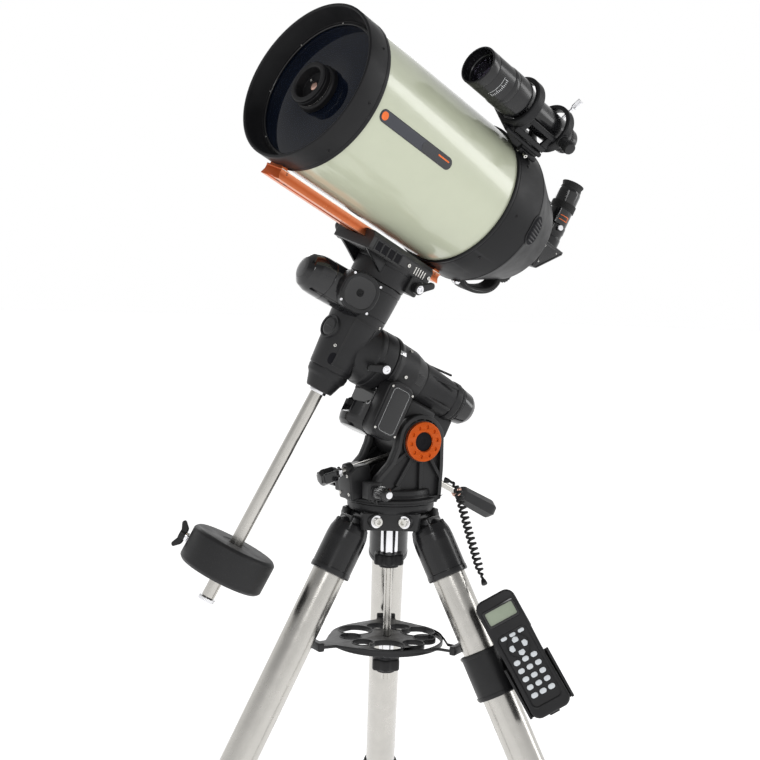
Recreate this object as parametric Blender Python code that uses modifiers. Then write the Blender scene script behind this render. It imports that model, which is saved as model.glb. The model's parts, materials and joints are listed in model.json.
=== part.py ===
"""A Schmidt-Cassegrain telescope on a German equatorial mount and a steel-legged tripod.

Metres, +Z up. The origin is on the floor, under the middle of the whole object's box. Polar
north is towards -X, so the north leg, the polar axis and the latitude hinge lie in the XZ plane.
Every moving group hangs from an empty that stands on its joint's axis.
"""

import math

import bmesh
import bpy
from mathutils import Matrix, Vector

# ---------------------------------------------------------------- driving dimensions
TRIPOD_X = 0.0718  # tripod axis, measured from the middle of the object's box
TRIPOD_Y = 0.0
HEAD_HEIGHT = 0.780  # floor to the underside of the tripod head's top flange
GAP = 0.0003

LEG_LEAN = 28.2  # degrees from upright
LEG_AZIMUTHS = {"north": 180.0, "west": 300.0, "east": 60.0}
LEG_PIVOT_RADIUS = 0.050
LEG_PIVOT_DROP = 0.016
LEG_AXIS_OUT = 0.0087  # the tube's axis passes this far outside the hinge bolt
LEG_FOLD = 10.5  # degrees that a leg closes with the tray lowered
LEG_TUBE_R = 0.0254
LEG_TUBE_WALL = 0.0016
LEG_EXTENSION_R = 0.0222
SOCKET_R = 0.0305
LEG_TUBE_END = -0.600
LEG_EXTENSION_TOP = -0.170

TRAY_DROP = 0.2065
TRAY_R = 0.0872
TRAY_THICK = 0.0045

LATITUDE = 25.8
PIVOT_X, PIVOT_Z = 0.0213, 0.1021  # latitude hinge, from the tripod head
AXIS_OVER_PIVOT = 0.0825
CROSSING_AHEAD = 0.1621
RA_TURN = -8.5
DEC_TURN = 14.1
TUBE_OUT = 0.282  # optical axis from the crossing of the polar and declination axes

TUBE_R = 0.1125
RING_R = 0.1165
APERTURE_R = 0.1016
TUBE_FRONT = 0.284
FRONT_RING_LONG = 0.0423
REAR_CELL_FRONT = -0.054
REAR_PLATE = -0.202

# ---------------------------------------------------------------- scene and materials


def clear_scene():
    for old in list(bpy.data.objects):
        bpy.data.objects.remove(old, do_unlink=True)


clear_scene()
PARTS = bpy.data.collections.new("schmidt_cassegrain_telescope")
CUTTERS = bpy.data.collections.new("cutters")
bpy.context.scene.collection.children.link(PARTS)
bpy.context.scene.collection.children.link(CUTTERS)


def material(name, colour, roughness, metallic=0.0):
    made = bpy.data.materials.new(name)
    made.use_nodes = True
    shader = made.node_tree.nodes["Principled BSDF"]
    shader.inputs["Base Color"].default_value = (*colour, 1.0)
    shader.inputs["Roughness"].default_value = roughness
    shader.inputs["Metallic"].default_value = metallic
    made.diffuse_color = (*colour, 1.0)
    return made


CASTING = material("black_casting", (0.018, 0.018, 0.020), 0.45)
PLASTIC = material("black_plastic", (0.012, 0.012, 0.013), 0.35)
GLOSS = material("gloss_black", (0.010, 0.010, 0.012), 0.12)
RUBBER = material("rubber", (0.015, 0.015, 0.015), 0.75)
STEEL = material("stainless_steel", (0.62, 0.60, 0.56), 0.22, 1.0)
CHROME = material("chrome", (0.78, 0.78, 0.80), 0.10, 1.0)
CREAM = material("cream_enamel", (0.60, 0.62, 0.50), 0.25)
ORANGE = material("orange_anodised", (0.72, 0.13, 0.015), 0.32, 0.6)
GLASS = material("coated_glass", (0.02, 0.03, 0.05), 0.03)
MIRROR = material("mirror", (0.85, 0.86, 0.88), 0.03, 1.0)
KEYS = material("grey_keys", (0.62, 0.64, 0.66), 0.55)

# ---------------------------------------------------------------- frames and shapes


def shift(x=0.0, y=0.0, z=0.0):
    return Matrix.Translation((x, y, z))


def spin(axis, degrees):
    return Matrix.Rotation(math.radians(degrees), 4, axis)


def axes(x, y, z):
    """The rotation whose columns are the three given directions."""
    return Matrix((x, y, z)).transposed().to_4x4()


def frame(name, parent, local):
    empty = bpy.data.objects.new(name, None)
    empty.empty_display_size = 0.05
    PARTS.objects.link(empty)
    empty.parent = parent
    empty.matrix_basis = local
    return empty


def place(obj, at, local, colour):
    PARTS.objects.link(obj)
    obj.parent = at
    obj.matrix_basis = local
    if not obj.data.materials:
        obj.data.materials.append(colour)
    return obj


def turned(name, at, local, profile, colour, steps=16):
    """A profile of (radius, height), down its outer side, turned about the local Z axis."""
    shape = bmesh.new()
    points = [shape.verts.new((radius, 0.0, height)) for radius, height in profile]
    for a, b in zip(points, points[1:]):
        shape.edges.new((a, b))
    if profile[0][0] > 0.0:
        shape.edges.new((points[-1], points[0]))
    mesh = bpy.data.meshes.new(name)
    shape.to_mesh(mesh)
    shape.free()
    obj = place(bpy.data.objects.new(name, mesh), at, local, colour)
    screw = obj.modifiers.new("Turn", "SCREW")
    screw.steps = screw.render_steps = steps
    screw.use_merge_vertices = True
    screw.merge_threshold = 0.00001
    screw.use_smooth_shade = True
    return obj


def rod(name, at, local, radius, top, bottom, colour, steps=12, edge=0.0):
    """A cylinder along local Z, with its end edges chamfered by edge."""
    profile = [(0.0, top), (radius - edge, top)]
    if edge:
        profile += [(radius, top - edge), (radius, bottom + edge)]
        profile += [(radius - edge, bottom)]
    else:
        profile += [(radius, bottom)]
    return turned(name, at, local, profile + [(0.0, bottom)], colour, steps)


def pipe(name, at, local, outer, inner, top, bottom, colour, steps=16):
    profile = [(outer, top), (outer, bottom), (inner, bottom), (inner, top)]
    return turned(name, at, local, profile, colour, steps)


def block(name, at, local, size, colour, bevel=0.0, segments=2):
    shape = bmesh.new()
    bmesh.ops.create_cube(shape, size=1.0)
    bmesh.ops.scale(shape, vec=size, verts=shape.verts)
    mesh = bpy.data.meshes.new(name)
    shape.to_mesh(mesh)
    shape.free()
    obj = place(bpy.data.objects.new(name, mesh), at, local, colour)
    if bevel:
        round_edges(obj, bevel, segments)
    return obj


def round_edges(obj, width, segments=2):
    bevel = obj.modifiers.new("Round", "BEVEL")
    bevel.width = width
    bevel.segments = segments
    bevel.limit_method = "ANGLE"
    bevel.angle_limit = math.radians(50)


def mesh_of(curve_object):
    """Swaps a curve object for a mesh object with its caps welded on."""
    bpy.context.view_layer.update()
    graph = bpy.context.evaluated_depsgraph_get()
    mesh = bpy.data.meshes.new_from_object(curve_object.evaluated_get(graph))
    shape = bmesh.new()
    shape.from_mesh(mesh)
    bmesh.ops.remove_doubles(shape, verts=shape.verts, dist=0.00001)
    shape.to_mesh(mesh)
    shape.free()
    name, parent = curve_object.name, curve_object.parent
    local = curve_object.matrix_basis.copy()
    colour = curve_object.data.materials[0]
    bpy.data.objects.remove(curve_object, do_unlink=True)
    return place(bpy.data.objects.new(name, mesh), parent, local, colour)


def slab(name, at, local, outline, thickness, colour, bevel=0.0):
    """A flat outline in local XY, thickened equally to both sides of it along Z."""
    curve = bpy.data.curves.new(name, "CURVE")
    curve.dimensions = "2D"
    curve.fill_mode = "BOTH"
    curve.extrude = thickness / 2
    spline = curve.splines.new("POLY")
    spline.points.add(len(outline) - 1)
    for point, (x, y) in zip(spline.points, outline):
        point.co = (x, y, 0.0, 1.0)
    spline.use_cyclic_u = True
    obj = mesh_of(place(bpy.data.objects.new(name, curve), at, local, colour))
    if bevel:
        round_edges(obj, bevel)
    return obj


def wire(name, at, local, points, radius, colour, sides=3):
    curve = bpy.data.curves.new(name, "CURVE")
    curve.dimensions = "3D"
    curve.bevel_depth = radius
    curve.bevel_resolution = sides
    curve.use_fill_caps = True
    spline = curve.splines.new("POLY")
    spline.points.add(len(points) - 1)
    for point, co in zip(spline.points, points):
        point.co = (*co, 1.0)
    return place(bpy.data.objects.new(name, curve), at, local, colour)


def smooth(points, per_span):
    """A Catmull-Rom curve through the given points."""
    knots = [Vector(p) for p in points]
    knots = [2 * knots[0] - knots[1]] + knots + [2 * knots[-1] - knots[-2]]
    curve = []
    for a, b, c, d in zip(knots, knots[1:], knots[2:], knots[3:]):
        for i in range(per_span):
            t = i / per_span
            curve.append(0.5 * (2 * b + (c - a) * t + (2 * a - 5 * b + 4 * c - d) * t * t
                                + (3 * b - a - 3 * c + d) * t ** 3))
    return curve + [knots[-2]]


def helper(obj):
    """Moves an operand of a Boolean out of the model."""
    PARTS.objects.unlink(obj)
    CUTTERS.objects.link(obj)
    obj.hide_render = True
    obj.display_type = "WIRE"
    return obj


def boolean(obj, other, operation):
    made = obj.modifiers.new(operation.title(), "BOOLEAN")
    made.operation = operation
    made.object = helper(other)
    made.solver = "EXACT"
    return obj


def join(obj, *others):
    for other in others:
        boolean(obj, other, "UNION")
    return obj


def cut(obj, *others):
    for other in others:
        boolean(obj, other, "DIFFERENCE")
    return obj


def arc(cx, cy, radius, start, end, count):
    """Points on an arc, its angles in degrees."""
    steps = [math.radians(start + (end - start) * i / count) for i in range(count + 1)]
    return [(cx + radius * math.cos(a), cy + radius * math.sin(a)) for a in steps]


def rounded_box(width, height, radius, count=4):
    x, y = width / 2 - radius, height / 2 - radius
    corners = [(x, y, 0), (-x, y, 90), (-x, -y, 180), (x, -y, 270)]
    return [p for cx, cy, a in corners for p in arc(cx, cy, radius, a, a + 90, count)]


def lobed(radius, depth, lobes, per_lobe=6):
    """The scalloped outline of a hand knob."""
    count = lobes * per_lobe
    points = []
    for i in range(count):
        angle = 2 * math.pi * i / count
        r = radius - depth * (0.5 - 0.5 * math.cos(lobes * angle))
        points.append((r * math.cos(angle), r * math.sin(angle)))
    return points


ALONG_X = spin("Y", 90)  # local Z of a turned shape along the frame's +X
ALONG_Y = spin("X", -90)  # and along its +Y

# ---------------------------------------------------------------- tripod

TRIPOD = frame("tripod_frame", None, shift(TRIPOD_X, TRIPOD_Y, HEAD_HEIGHT))


def leg_frame(azimuth):
    """Origin on the hinge bolt, X outward, Y along the bolt, Z up the leg."""
    local = spin("Z", azimuth) @ shift(LEG_PIVOT_RADIUS, 0, -LEG_PIVOT_DROP)
    return local @ spin("Y", -LEG_LEAN)


LEGS = {
    name: frame(f"leg_{name}_hinge", TRIPOD, leg_frame(azimuth))
    for name, azimuth in LEG_AZIMUTHS.items()
}


def hub_outline():
    points = []
    for azimuth in (60.0, 180.0, 300.0):
        turn = spin("Z", azimuth)
        lug = [(0.066, -0.034), (0.066, -0.0220), (0.030, -0.0220)]
        lug += [(x, -y) for x, y in reversed(lug)]
        points += [tuple(turn @ Vector((x, y, 0)))[:2] for x, y in lug]
    return points


UPRIGHT = axes((1, 0, 0), (0, 0, 1), (0, -1, 0))  # a slab's outline in XZ, thick along Y


def tripod_hub():
    flange = turned(
        "tripod_hub", TRIPOD, shift(),
        [(0.009, 0.0075), (0.0655, 0.0075), (0.0662, 0.0065), (0.0662, 0.0), (0.064, -0.005),
         (0.009, -0.005)], CASTING, 32)
    body = slab("hub_body", TRIPOD, shift(z=-0.0170), hub_outline(), 0.026, CASTING)
    bore = rod("hub_bore", TRIPOD, shift(), 0.0090, 0.02, -0.06, CASTING, 12)
    join(flange, body)
    cut(flange, bore)
    for azimuth in LEG_AZIMUTHS.values():
        local = spin("Z", azimuth) @ shift(LEG_PIVOT_RADIUS, 0, -LEG_PIVOT_DROP) @ ALONG_Y
        cut(flange, rod("hub_bolt_hole", TRIPOD, local, 0.0042, 0.05, -0.05, CASTING, 12))
    return flange


def swept_past(x_low, x_high, z_low, z_high):
    """A box of the head's, in the leg's XZ, round every way the leg folds."""
    corners = [(x, z) for x in (x_low, x_high) for z in (z_low, z_high)]
    spots = []
    for step in range(7):
        turn = math.radians(LEG_LEAN - LEG_FOLD * step / 6)
        spots += [(x * math.cos(turn) + z * math.sin(turn), z * math.cos(turn) - x * math.sin(turn))
                  for x, z in corners]
    spots = sorted(set(spots))
    outline = []
    for run in (spots, spots[::-1]):
        edge = []
        for spot in run:
            while len(edge) > 1 and turns_right(edge[-2], edge[-1], spot):
                edge.pop()
            edge.append(spot)
        outline += edge[:-1]
    return outline


def turns_right(a, b, c):
    return (b[0] - a[0]) * (c[1] - a[1]) - (b[1] - a[1]) * (c[0] - a[0]) <= 1e-9


def leg_socket(name, leg):
    body = turned(
        f"leg_socket_{name}", leg, shift(x=LEG_AXIS_OUT),
        [(0.0, -0.004), (0.0275, -0.004), (SOCKET_R, -0.008), (SOCKET_R, -0.097),
         (LEG_TUBE_R + GAP, -0.097), (LEG_TUBE_R + GAP, -0.052), (0.0, -0.052)], CASTING, 16)
    eye = rod("socket_eye", leg, ALONG_Y, 0.0078, 0.0215, -0.0215, CASTING, 12)
    web = block("socket_web", leg, shift(0.008, 0, -0.0195), (0.026, 0.043, 0.029), CASTING)
    # What the socket is cut away for as the leg folds: the lugs beside the eye, the core
    # behind it and the flange above it.
    flange = swept_past(-0.0526, 0.0190, 0.0110, 0.0460)
    lug = swept_past(-0.0526, 0.0166, -0.0146, 0.0226)
    core = swept_past(-0.0708, -0.0192, -0.0300, 0.0300)
    cut(body, slab("flange_clearance", leg, UPRIGHT, flange, 0.090, CASTING))
    for side in (-1, 1):
        local = shift(y=side * 0.0315) @ UPRIGHT
        cut(body, slab("lug_clearance", leg, local, lug, 0.020, CASTING))
    cut(web, slab("web_clearance", leg, UPRIGHT, flange, 0.090, CASTING))
    cut(web, slab("core_clearance", leg, UPRIGHT, core, 0.060, CASTING))
    join(body, web, eye)
    cut(body, rod("socket_bolt_hole", leg, ALONG_Y, 0.0042, 0.04, -0.04, CASTING, 12))
    return body


def leg_tube(name, leg):
    """The upper tube with the lock casting that is bonded to its lower end."""
    inner = LEG_TUBE_R - LEG_TUBE_WALL
    tube = turned(
        f"leg_tube_{name}", leg, shift(x=LEG_AXIS_OUT),
        [(LEG_TUBE_R, -0.0525), (LEG_TUBE_R, LEG_TUBE_END + 0.02), (0.0300, LEG_TUBE_END + 0.018),
         (0.0310, LEG_TUBE_END + 0.012), (0.0310, LEG_TUBE_END - 0.030),
         (0.0296, LEG_TUBE_END - 0.034), (LEG_EXTENSION_R + GAP, LEG_TUBE_END - 0.034),
         (LEG_EXTENSION_R + GAP, LEG_TUBE_END + 0.004), (inner, LEG_TUBE_END + 0.006),
         (inner, -0.0525)], STEEL, 16)
    boss = block(
        "lock_boss", leg, shift(LEG_AXIS_OUT + 0.033, 0, LEG_TUBE_END - 0.009),
        (0.018, 0.022, 0.028), CASTING)
    # The boss stays outside the bore, and the lock screw passes through it.
    cut(boss, rod("boss_trim", leg, shift(LEG_AXIS_OUT, 0, LEG_TUBE_END - 0.009), 0.0280,
                  0.03, -0.03, CASTING, 16))
    join(tube, boss)
    hole = shift(LEG_AXIS_OUT, 0, LEG_TUBE_END - 0.009) @ ALONG_X
    return cut(tube, rod("lock_hole", leg, hole, 0.0043, 0.06, 0.010, CASTING, 12))


def leg_lock_knob(name, leg):
    local = shift(LEG_AXIS_OUT, 0, LEG_TUBE_END - 0.009) @ ALONG_X
    screw = rod(f"leg_lock_knob_{name}", leg, local, 0.0040, 0.050, LEG_EXTENSION_R + 0.0015,
                PLASTIC, 12)
    head = slab("lock_knob_head", leg, local @ shift(z=0.051), lobed(0.0150, 0.0035, 5, 5),
                0.014, PLASTIC)
    return join(screw, head)


def leg_extension(name, leg):
    """The inner tube with the foot pressed on its end, cut off level with the floor."""
    floor = -(HEAD_HEIGHT - LEG_PIVOT_DROP) / math.cos(math.radians(LEG_LEAN))
    end = floor - 0.030
    body = turned(
        f"leg_extension_{name}", leg, shift(x=LEG_AXIS_OUT),
        [(LEG_EXTENSION_R, LEG_EXTENSION_TOP), (LEG_EXTENSION_R, floor + 0.075),
         (0.0262, floor + 0.073), (0.0262, floor + 0.030), (0.0235, floor + 0.022),
         (0.0235, end), (0.0, end), (0.0, floor + 0.05), (0.0206, floor + 0.05),
         (0.0206, LEG_EXTENSION_TOP)], STEEL, 16)
    down = spin("Y", LEG_LEAN) @ shift(z=-(HEAD_HEIGHT - LEG_PIVOT_DROP) - 0.1)
    return cut(body, block("floor_cut", leg, down, (1.5, 0.3, 0.2), RUBBER))


def centre_rod():
    """Held in the head by its collar, it carries the mounting knob and the tray."""
    return turned(
        "centre_rod", TRIPOD, shift(),
        [(0.0, 0.0065), (0.0085, 0.0065), (0.0085, -0.030), (0.0060, -0.031), (0.0060, -0.272),
         (0.0, -0.272)], STEEL, 12)


def mount_bolt_knob():
    knob = slab("mount_bolt_knob", TRIPOD, shift(z=-0.0835), lobed(0.0250, 0.004, 6, 5), 0.017,
                PLASTIC)
    sleeve = rod("knob_sleeve", TRIPOD, shift(), 0.0130, -0.0315, -0.078, CHROME, 12)
    dish = rod("knob_dish", TRIPOD, shift(), 0.0150, -0.088, -0.0965, PLASTIC, 12)
    join(knob, sleeve, dish)
    return cut(knob, rod("knob_bore", TRIPOD, shift(), 0.0090, 0.0, -0.2, CHROME, 12))


def tray_outline():
    """A disc with three arms that reach the inner sides of the legs."""
    points = []
    for azimuth in (60.0, 180.0, 300.0):
        turn = spin("Z", azimuth)
        arm = [(0.080, -0.040), (0.098, -0.016), (0.1240, -0.014)]
        arm += [(x, -y) for x, y in reversed(arm)]
        points += [tuple(turn @ Vector((x, y, 0)))[:2] for x, y in arm]
        points += arc(0, 0, TRAY_R, azimuth + 34, azimuth + 86, 7)
    return points


TRAY_HOLES = (
    # radius from the axis, degrees, hole radius: two sizes of eyepiece barrel
    (0.056, 240, 0.0255), (0.056, 120, 0.0255), (0.056, 0, 0.0255), (0.056, 285, 0.0160),
    (0.058, 325, 0.0160), (0.056, 75, 0.0160), (0.056, 38, 0.0160), (0.056, 160, 0.0160),
    (0.056, 200, 0.0160))


def spreader_tray():
    tray = slab("spreader_tray", TRIPOD, shift(z=-TRAY_DROP), tray_outline(), TRAY_THICK, CASTING)
    skirt = turned(
        "tray_skirt", TRIPOD, shift(z=-TRAY_DROP),
        [(0.0860, 0.0), (0.0860, -0.0080), (0.0820, -0.0080), (0.0820, 0.0)], CASTING, 20)
    join(tray, skirt)
    for radius, degrees, hole in TRAY_HOLES:
        local = spin("Z", degrees) @ shift(radius, 0, -TRAY_DROP)
        cut(tray, rod("tray_hole", TRIPOD, local, hole, 0.006, -0.006, CASTING, 12))
    return cut(tray, rod("tray_bore", TRIPOD, shift(z=-TRAY_DROP), 0.0064, 0.02, -0.02, CASTING))


def tray_knob():
    knob = slab("tray_knob", TRIPOD, shift(z=-0.2475), lobed(0.0230, 0.0035, 6, 5), 0.018, PLASTIC)
    neck = rod("tray_knob_neck", TRIPOD, shift(), 0.0110, -0.2145, -0.245, CHROME, 12)
    join(knob, neck)
    return cut(knob, rod("tray_knob_bore", TRIPOD, shift(), 0.0064, -0.1, -0.4, PLASTIC))


tripod_hub()
centre_rod()
mount_bolt_knob()
spreader_tray()
tray_knob()
for leg_name, leg_empty in LEGS.items():
    leg_socket(leg_name, leg_empty)
    leg_tube(leg_name, leg_empty)
    leg_lock_knob(leg_name, leg_empty)
    leg_extension(leg_name, leg_empty)

# ---------------------------------------------------------------- azimuth base and fork

AZIMUTH = frame("azimuth_axis", TRIPOD, shift())
CHEEK_IN, CHEEK_OUT = 0.0345, 0.0515


def cheek_outline():
    points = [(-0.060, 0.012), (0.058, 0.012), (0.061, 0.060), (0.0605, 0.110)]
    points += arc(PIVOT_X, PIVOT_Z, 0.0400, 20, 158, 9)
    return points + [(-0.021, 0.092), (-0.030, 0.072), (-0.052, 0.050), (-0.060, 0.034)]


def azimuth_base():
    base = turned(
        "azimuth_base", AZIMUTH, shift(),
        [(0.012, 0.0300), (0.0590, 0.0300), (0.0610, 0.0280), (0.0630, 0.0170), (0.0690, 0.0160),
         (0.0700, 0.0150), (0.0700, 0.0090), (0.0690, 0.0080), (0.012, 0.0080)], CASTING, 32)
    thick = CHEEK_OUT - CHEEK_IN
    for side in (-1, 1):
        local = shift(y=side * (CHEEK_IN + thick / 2)) @ UPRIGHT
        join(base, slab("cheek", AZIMUTH, local, cheek_outline(), thick, CASTING))
        bore = shift(PIVOT_X, side * 0.043, PIVOT_Z) @ ALONG_Y
        cut(base, rod("pivot_bore", AZIMUTH, bore, 0.0185, 0.02, -0.02, CASTING, 16))
        boss = shift(-0.0580, side * 0.0420, 0.0310)
        join(base, block("azimuth_boss", AZIMUTH, boss, (0.022, 0.024, 0.026), CASTING))
    front = shift(-0.0640, 0, 0.0395) @ spin("Y", -8)
    join(base, block("front_boss", AZIMUTH, front, (0.036, 0.040, 0.050), CASTING))
    rear = shift(0.0570, 0, 0.0380)
    join(base, block("rear_boss", AZIMUTH, rear, (0.020, 0.072, 0.040), CASTING))
    for side in (-1, 1):
        hole = shift(-0.0580, side * 0.05, 0.0310) @ ALONG_Y
        cut(base, rod("azimuth_screw_hole", AZIMUTH, hole, 0.0043, 0.025, -0.025, CASTING, 12))
    for local in (FRONT_SCREW, REAR_SCREW):
        cut(base, rod("latitude_screw_hole", AZIMUTH, local, 0.0053, 0.2, -0.02, CASTING, 12))
    return base


def azimuth_knob(name, side):
    """A screw that bears on the head's azimuth peg from one side."""
    local = shift(-0.0580, side * 0.034, 0.0310) @ (ALONG_Y if side > 0 else spin("X", 90))
    return turned(
        name, AZIMUTH, local,
        [(0.0, 0.0600), (0.0070, 0.0590), (0.0105, 0.0540), (0.0105, 0.0280), (0.0040, 0.0250),
         (0.0040, 0.0), (0.0, 0.0)], PLASTIC, 12)


def pivot_ring(name, side):
    """A hollow shouldered bolt: its shank carries the polar housing, its flange the cheek."""
    local = shift(PIVOT_X, side * (CHEEK_OUT + GAP), PIVOT_Z)
    local = local @ (ALONG_Y if side > 0 else spin("X", 90))
    return turned(
        name, AZIMUTH, local,
        [(0.0290, 0.0068), (0.0300, 0.0060), (0.0300, 0.0), (0.0180, 0.0), (0.0180, -0.0280),
         (0.0142, -0.0280), (0.0142, 0.0050), (0.0156, 0.0068)], ORANGE, 20)


def screw_frame(tip_x, tip_z, rise):
    """Origin at the screw's tip, Z out along the screw; rise is in degrees above -X or +X."""
    return shift(tip_x, 0, tip_z) @ spin("Y", rise)


FRONT_SCREW = screw_frame(-0.0062, 0.0742, -90 - 13.8)
REAR_SCREW = screw_frame(0.0375, 0.0541, 90 + 26.7)


def latitude_screw(name, local, length, grip_r, grip_long):
    shaft = rod(name, AZIMUTH, local, 0.0050, length, 0.0, STEEL, 12)
    grip = [(0.0, length + grip_long), (grip_r * 0.8, length + grip_long)]
    grip += [(grip_r, length + grip_long - 0.006), (grip_r, length + 0.004)]
    grip += [(grip_r * 0.6, length - 0.006), (0.0, length - 0.006)]
    return join(shaft, turned("screw_grip", AZIMUTH, local, grip, PLASTIC, 6))


azimuth_base()
azimuth_knob("azimuth_knob_west", -1)
azimuth_knob("azimuth_knob_east", 1)
pivot_ring("latitude_ring_west", -1)
pivot_ring("latitude_ring_east", 1)
latitude_screw("latitude_screw_north", FRONT_SCREW, 0.090, 0.0130, 0.032)
latitude_screw("latitude_screw_south", REAR_SCREW, 0.098, 0.0150, 0.072)

# ---------------------------------------------------------------- polar housing

# Z points at the pole, X up from the polar axis, Y east.
POLE = math.radians(LATITUDE)
TO_POLE = Vector((-math.cos(POLE), 0.0, math.sin(POLE)))
OVER_POLE = Vector((math.sin(POLE), 0.0, math.cos(POLE)))
HINGE = frame(
    "latitude_axis", AZIMUTH,
    shift(PIVOT_X, 0, PIVOT_Z) @ axes(OVER_POLE, (0, 1, 0), TO_POLE))
POLAR = frame("polar_frame", HINGE, shift(AXIS_OVER_PIVOT, 0, CROSSING_AHEAD))


def polar_housing():
    body = turned(
        "polar_housing", POLAR, shift(),
        [(0.0130, -0.0710), (0.0460, -0.0710), (0.0470, -0.0725), (0.0465, -0.0790),
         (0.0437, -0.0850), (0.0420, -0.1150), (0.0362, -0.1340), (0.0295, -0.2060),
         (0.0290, -0.2136), (0.0130, -0.2136)], CASTING, 20)
    eye = rod("hinge_eye", HINGE, ALONG_Y, 0.0330, 0.0335, -0.0335, CASTING, 16)
    neck = block("hinge_neck", HINGE, shift(0.026, 0, 0.008), (0.056, 0.060, 0.050), CASTING)
    finger = block("latitude_finger", HINGE, latitude_finger(), (0.0360, 0.024, 0.036), CASTING)
    for part in (neck, finger):
        cut(part, rod("polar_bore", POLAR, shift(), 0.0140, 0.0, -0.3, CASTING, 16))
    join(body, neck, eye, finger)
    return cut(body, rod("hinge_bore", HINGE, ALONG_Y, 0.0185, 0.05, -0.05, CASTING, 16))


def latitude_finger():
    """The finger hangs straight down from the hinge, between the tips of the two screws."""
    return axes(OVER_POLE, (0, 1, 0), TO_POLE).inverted() @ shift(-0.0055, 0, -0.0380)


def motor_clearance(name):
    """The polar housing's outside and, ahead of it, the path of the clutch lever."""
    return turned(
        name, POLAR, shift(),
        [(0.0, -0.02), (0.0690, -0.02), (0.0690, -0.0630), (0.0480, -0.0640), (0.0480, -0.0790),
         (0.0450, -0.0850), (0.0435, -0.1300), (0.0, -0.1300)], CASTING, 20)


def ra_motor_cover():
    local = shift(0, 0, -0.0795) @ ALONG_X
    cover = turned(
        "ra_motor_cover", POLAR, local,
        [(0.0, -0.0300), (0.0330, -0.0300), (0.0330, -0.0920), (0.0310, -0.1010),
         (0.0260, -0.1065), (0.0, -0.1080)], GLOSS, 16)
    return cut(cover, motor_clearance("motor_cover_trim"))


def ra_gear_cover():
    local = shift(-0.0650, -0.0495, -0.0880) @ axes((0, 0, 1), (1, 0, 0), (0, 1, 0))
    cover = slab("ra_gear_cover", POLAR, local, rounded_box(0.046, 0.086, 0.014, 3), 0.0320,
                 PLASTIC, 0.003)
    return cut(cover, motor_clearance("gear_cover_trim"))


def polar_cap():
    return turned(
        "polar_cap", POLAR, shift(),
        [(0.0, -0.2140), (0.0285, -0.2140), (0.0285, -0.2200), (0.0255, -0.2390),
         (0.0205, -0.2470), (0.0, -0.2485)], PLASTIC, 16)


def clutch_lever(name, at, local):
    """A cam lever on a stub screw; Z is the screw's axis and -X the way the lever points."""
    lever = slab(name, at, local @ shift(-0.0130, 0, 0.0085), rounded_box(0.034, 0.0120, 0.0055, 3),
                 0.0070, PLASTIC)
    eye = rod("lever_eye", at, local, 0.0085, 0.0130, 0.0030, PLASTIC, 12)
    return join(lever, eye)


polar_housing()
ra_motor_cover()
ra_gear_cover()
polar_cap()

# ---------------------------------------------------------------- declination head

RA = frame("polar_axis", POLAR, spin("Z", RA_TURN))
# Z runs from the crossing out to the tube, Y points at the pole.
DEC_HEAD = frame("declination_frame", RA, axes((0, 1, 0), (0, 0, 1), (1, 0, 0)))


def dec_housing():
    """The declination casting with its nose cone, and the polar shaft's stub."""
    body = turned(
        "dec_housing", DEC_HEAD, shift(),
        [(0.0110, 0.1020), (0.0415, 0.1020), (0.0425, 0.1005), (0.0415, 0.0480), (0.0322, -0.0450),
         (0.0300, -0.0460), (0.0312, -0.0480), (0.0300, -0.0560), (0.0205, -0.0780),
         (0.0110, -0.0790)], CASTING, 20)
    neck = turned(
        "polar_stub", DEC_HEAD, axes((1, 0, 0), (0, 0, -1), (0, 1, 0)),
        [(0.0, 0.0), (0.0330, 0.0), (0.0400, -0.0200), (0.0440, -0.0385), (0.0462, -0.0410),
         (0.0465, -0.0690), (0.0455, -0.0705), (0.0120, -0.0705), (0.0120, -0.0900),
         (0.0, -0.0900)], CASTING, 20)
    bore = rod("dec_bore", DEC_HEAD, shift(), 0.0110, 0.2, -0.2, CASTING, 12)
    join(body, neck)
    return cut(body, bore)


def dec_motor_cover():
    """Motor barrel reaching forward, with the oval gear case on the west side."""
    barrel = turned(
        "dec_motor_cover", DEC_HEAD, shift(-0.0200, 0, 0.0660) @ ALONG_Y,
        [(0.0, 0.1270), (0.0160, 0.1255), (0.0250, 0.1190), (0.0290, 0.1080), (0.0300, 0.0900),
         (0.0300, 0.0200), (0.0, 0.0200)], GLOSS, 16)
    local = shift(-0.0480, 0.0450, 0.0720) @ axes((0, 1, 0), (0, 0, 1), (1, 0, 0))
    case = slab("dec_gear_case", DEC_HEAD, local, rounded_box(0.062, 0.058, 0.0260, 5), 0.0280,
                PLASTIC, 0.004)
    join(barrel, case)
    clear = rod("dec_cover_trim", DEC_HEAD, shift(), 0.0431, 0.2, -0.2, CASTING, 20)
    return cut(barrel, clear)


def counterweight_bar():
    return turned(
        "counterweight_bar", DEC_HEAD, shift(),
        [(0.0, 0.0600), (0.0100, 0.0600), (0.0100, -0.4240), (0.0090, -0.4250), (0.0046, -0.4250),
         (0.0046, -0.4050), (0.0, -0.4050)], STEEL, 12)


def bar_stop_screw():
    return turned(
        "bar_stop_screw", DEC_HEAD, shift(),
        [(0.0, -0.4060), (0.0040, -0.4060), (0.0040, -0.4254), (0.0125, -0.4254),
         (0.0130, -0.4270), (0.0130, -0.4300), (0.0125, -0.4316), (0.0, -0.4316)], CHROME, 12)


def counterweight():
    """A turned iron disc with its locking screw's bore on one side."""
    outer = 0.0663
    weight = turned(
        "counterweight", DEC_HEAD, shift(),
        [(outer - 0.004, -0.3360), (outer, -0.3400), (outer, -0.3870), (outer - 0.004, -0.3910),
         (0.0103, -0.3910), (0.0103, -0.3360)], CASTING, 36)
    return cut(weight, rod("weight_screw_hole", DEC_HEAD, WEIGHT_SCREW, 0.0043, 0.09, 0.0, CASTING,
                           12))


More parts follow.
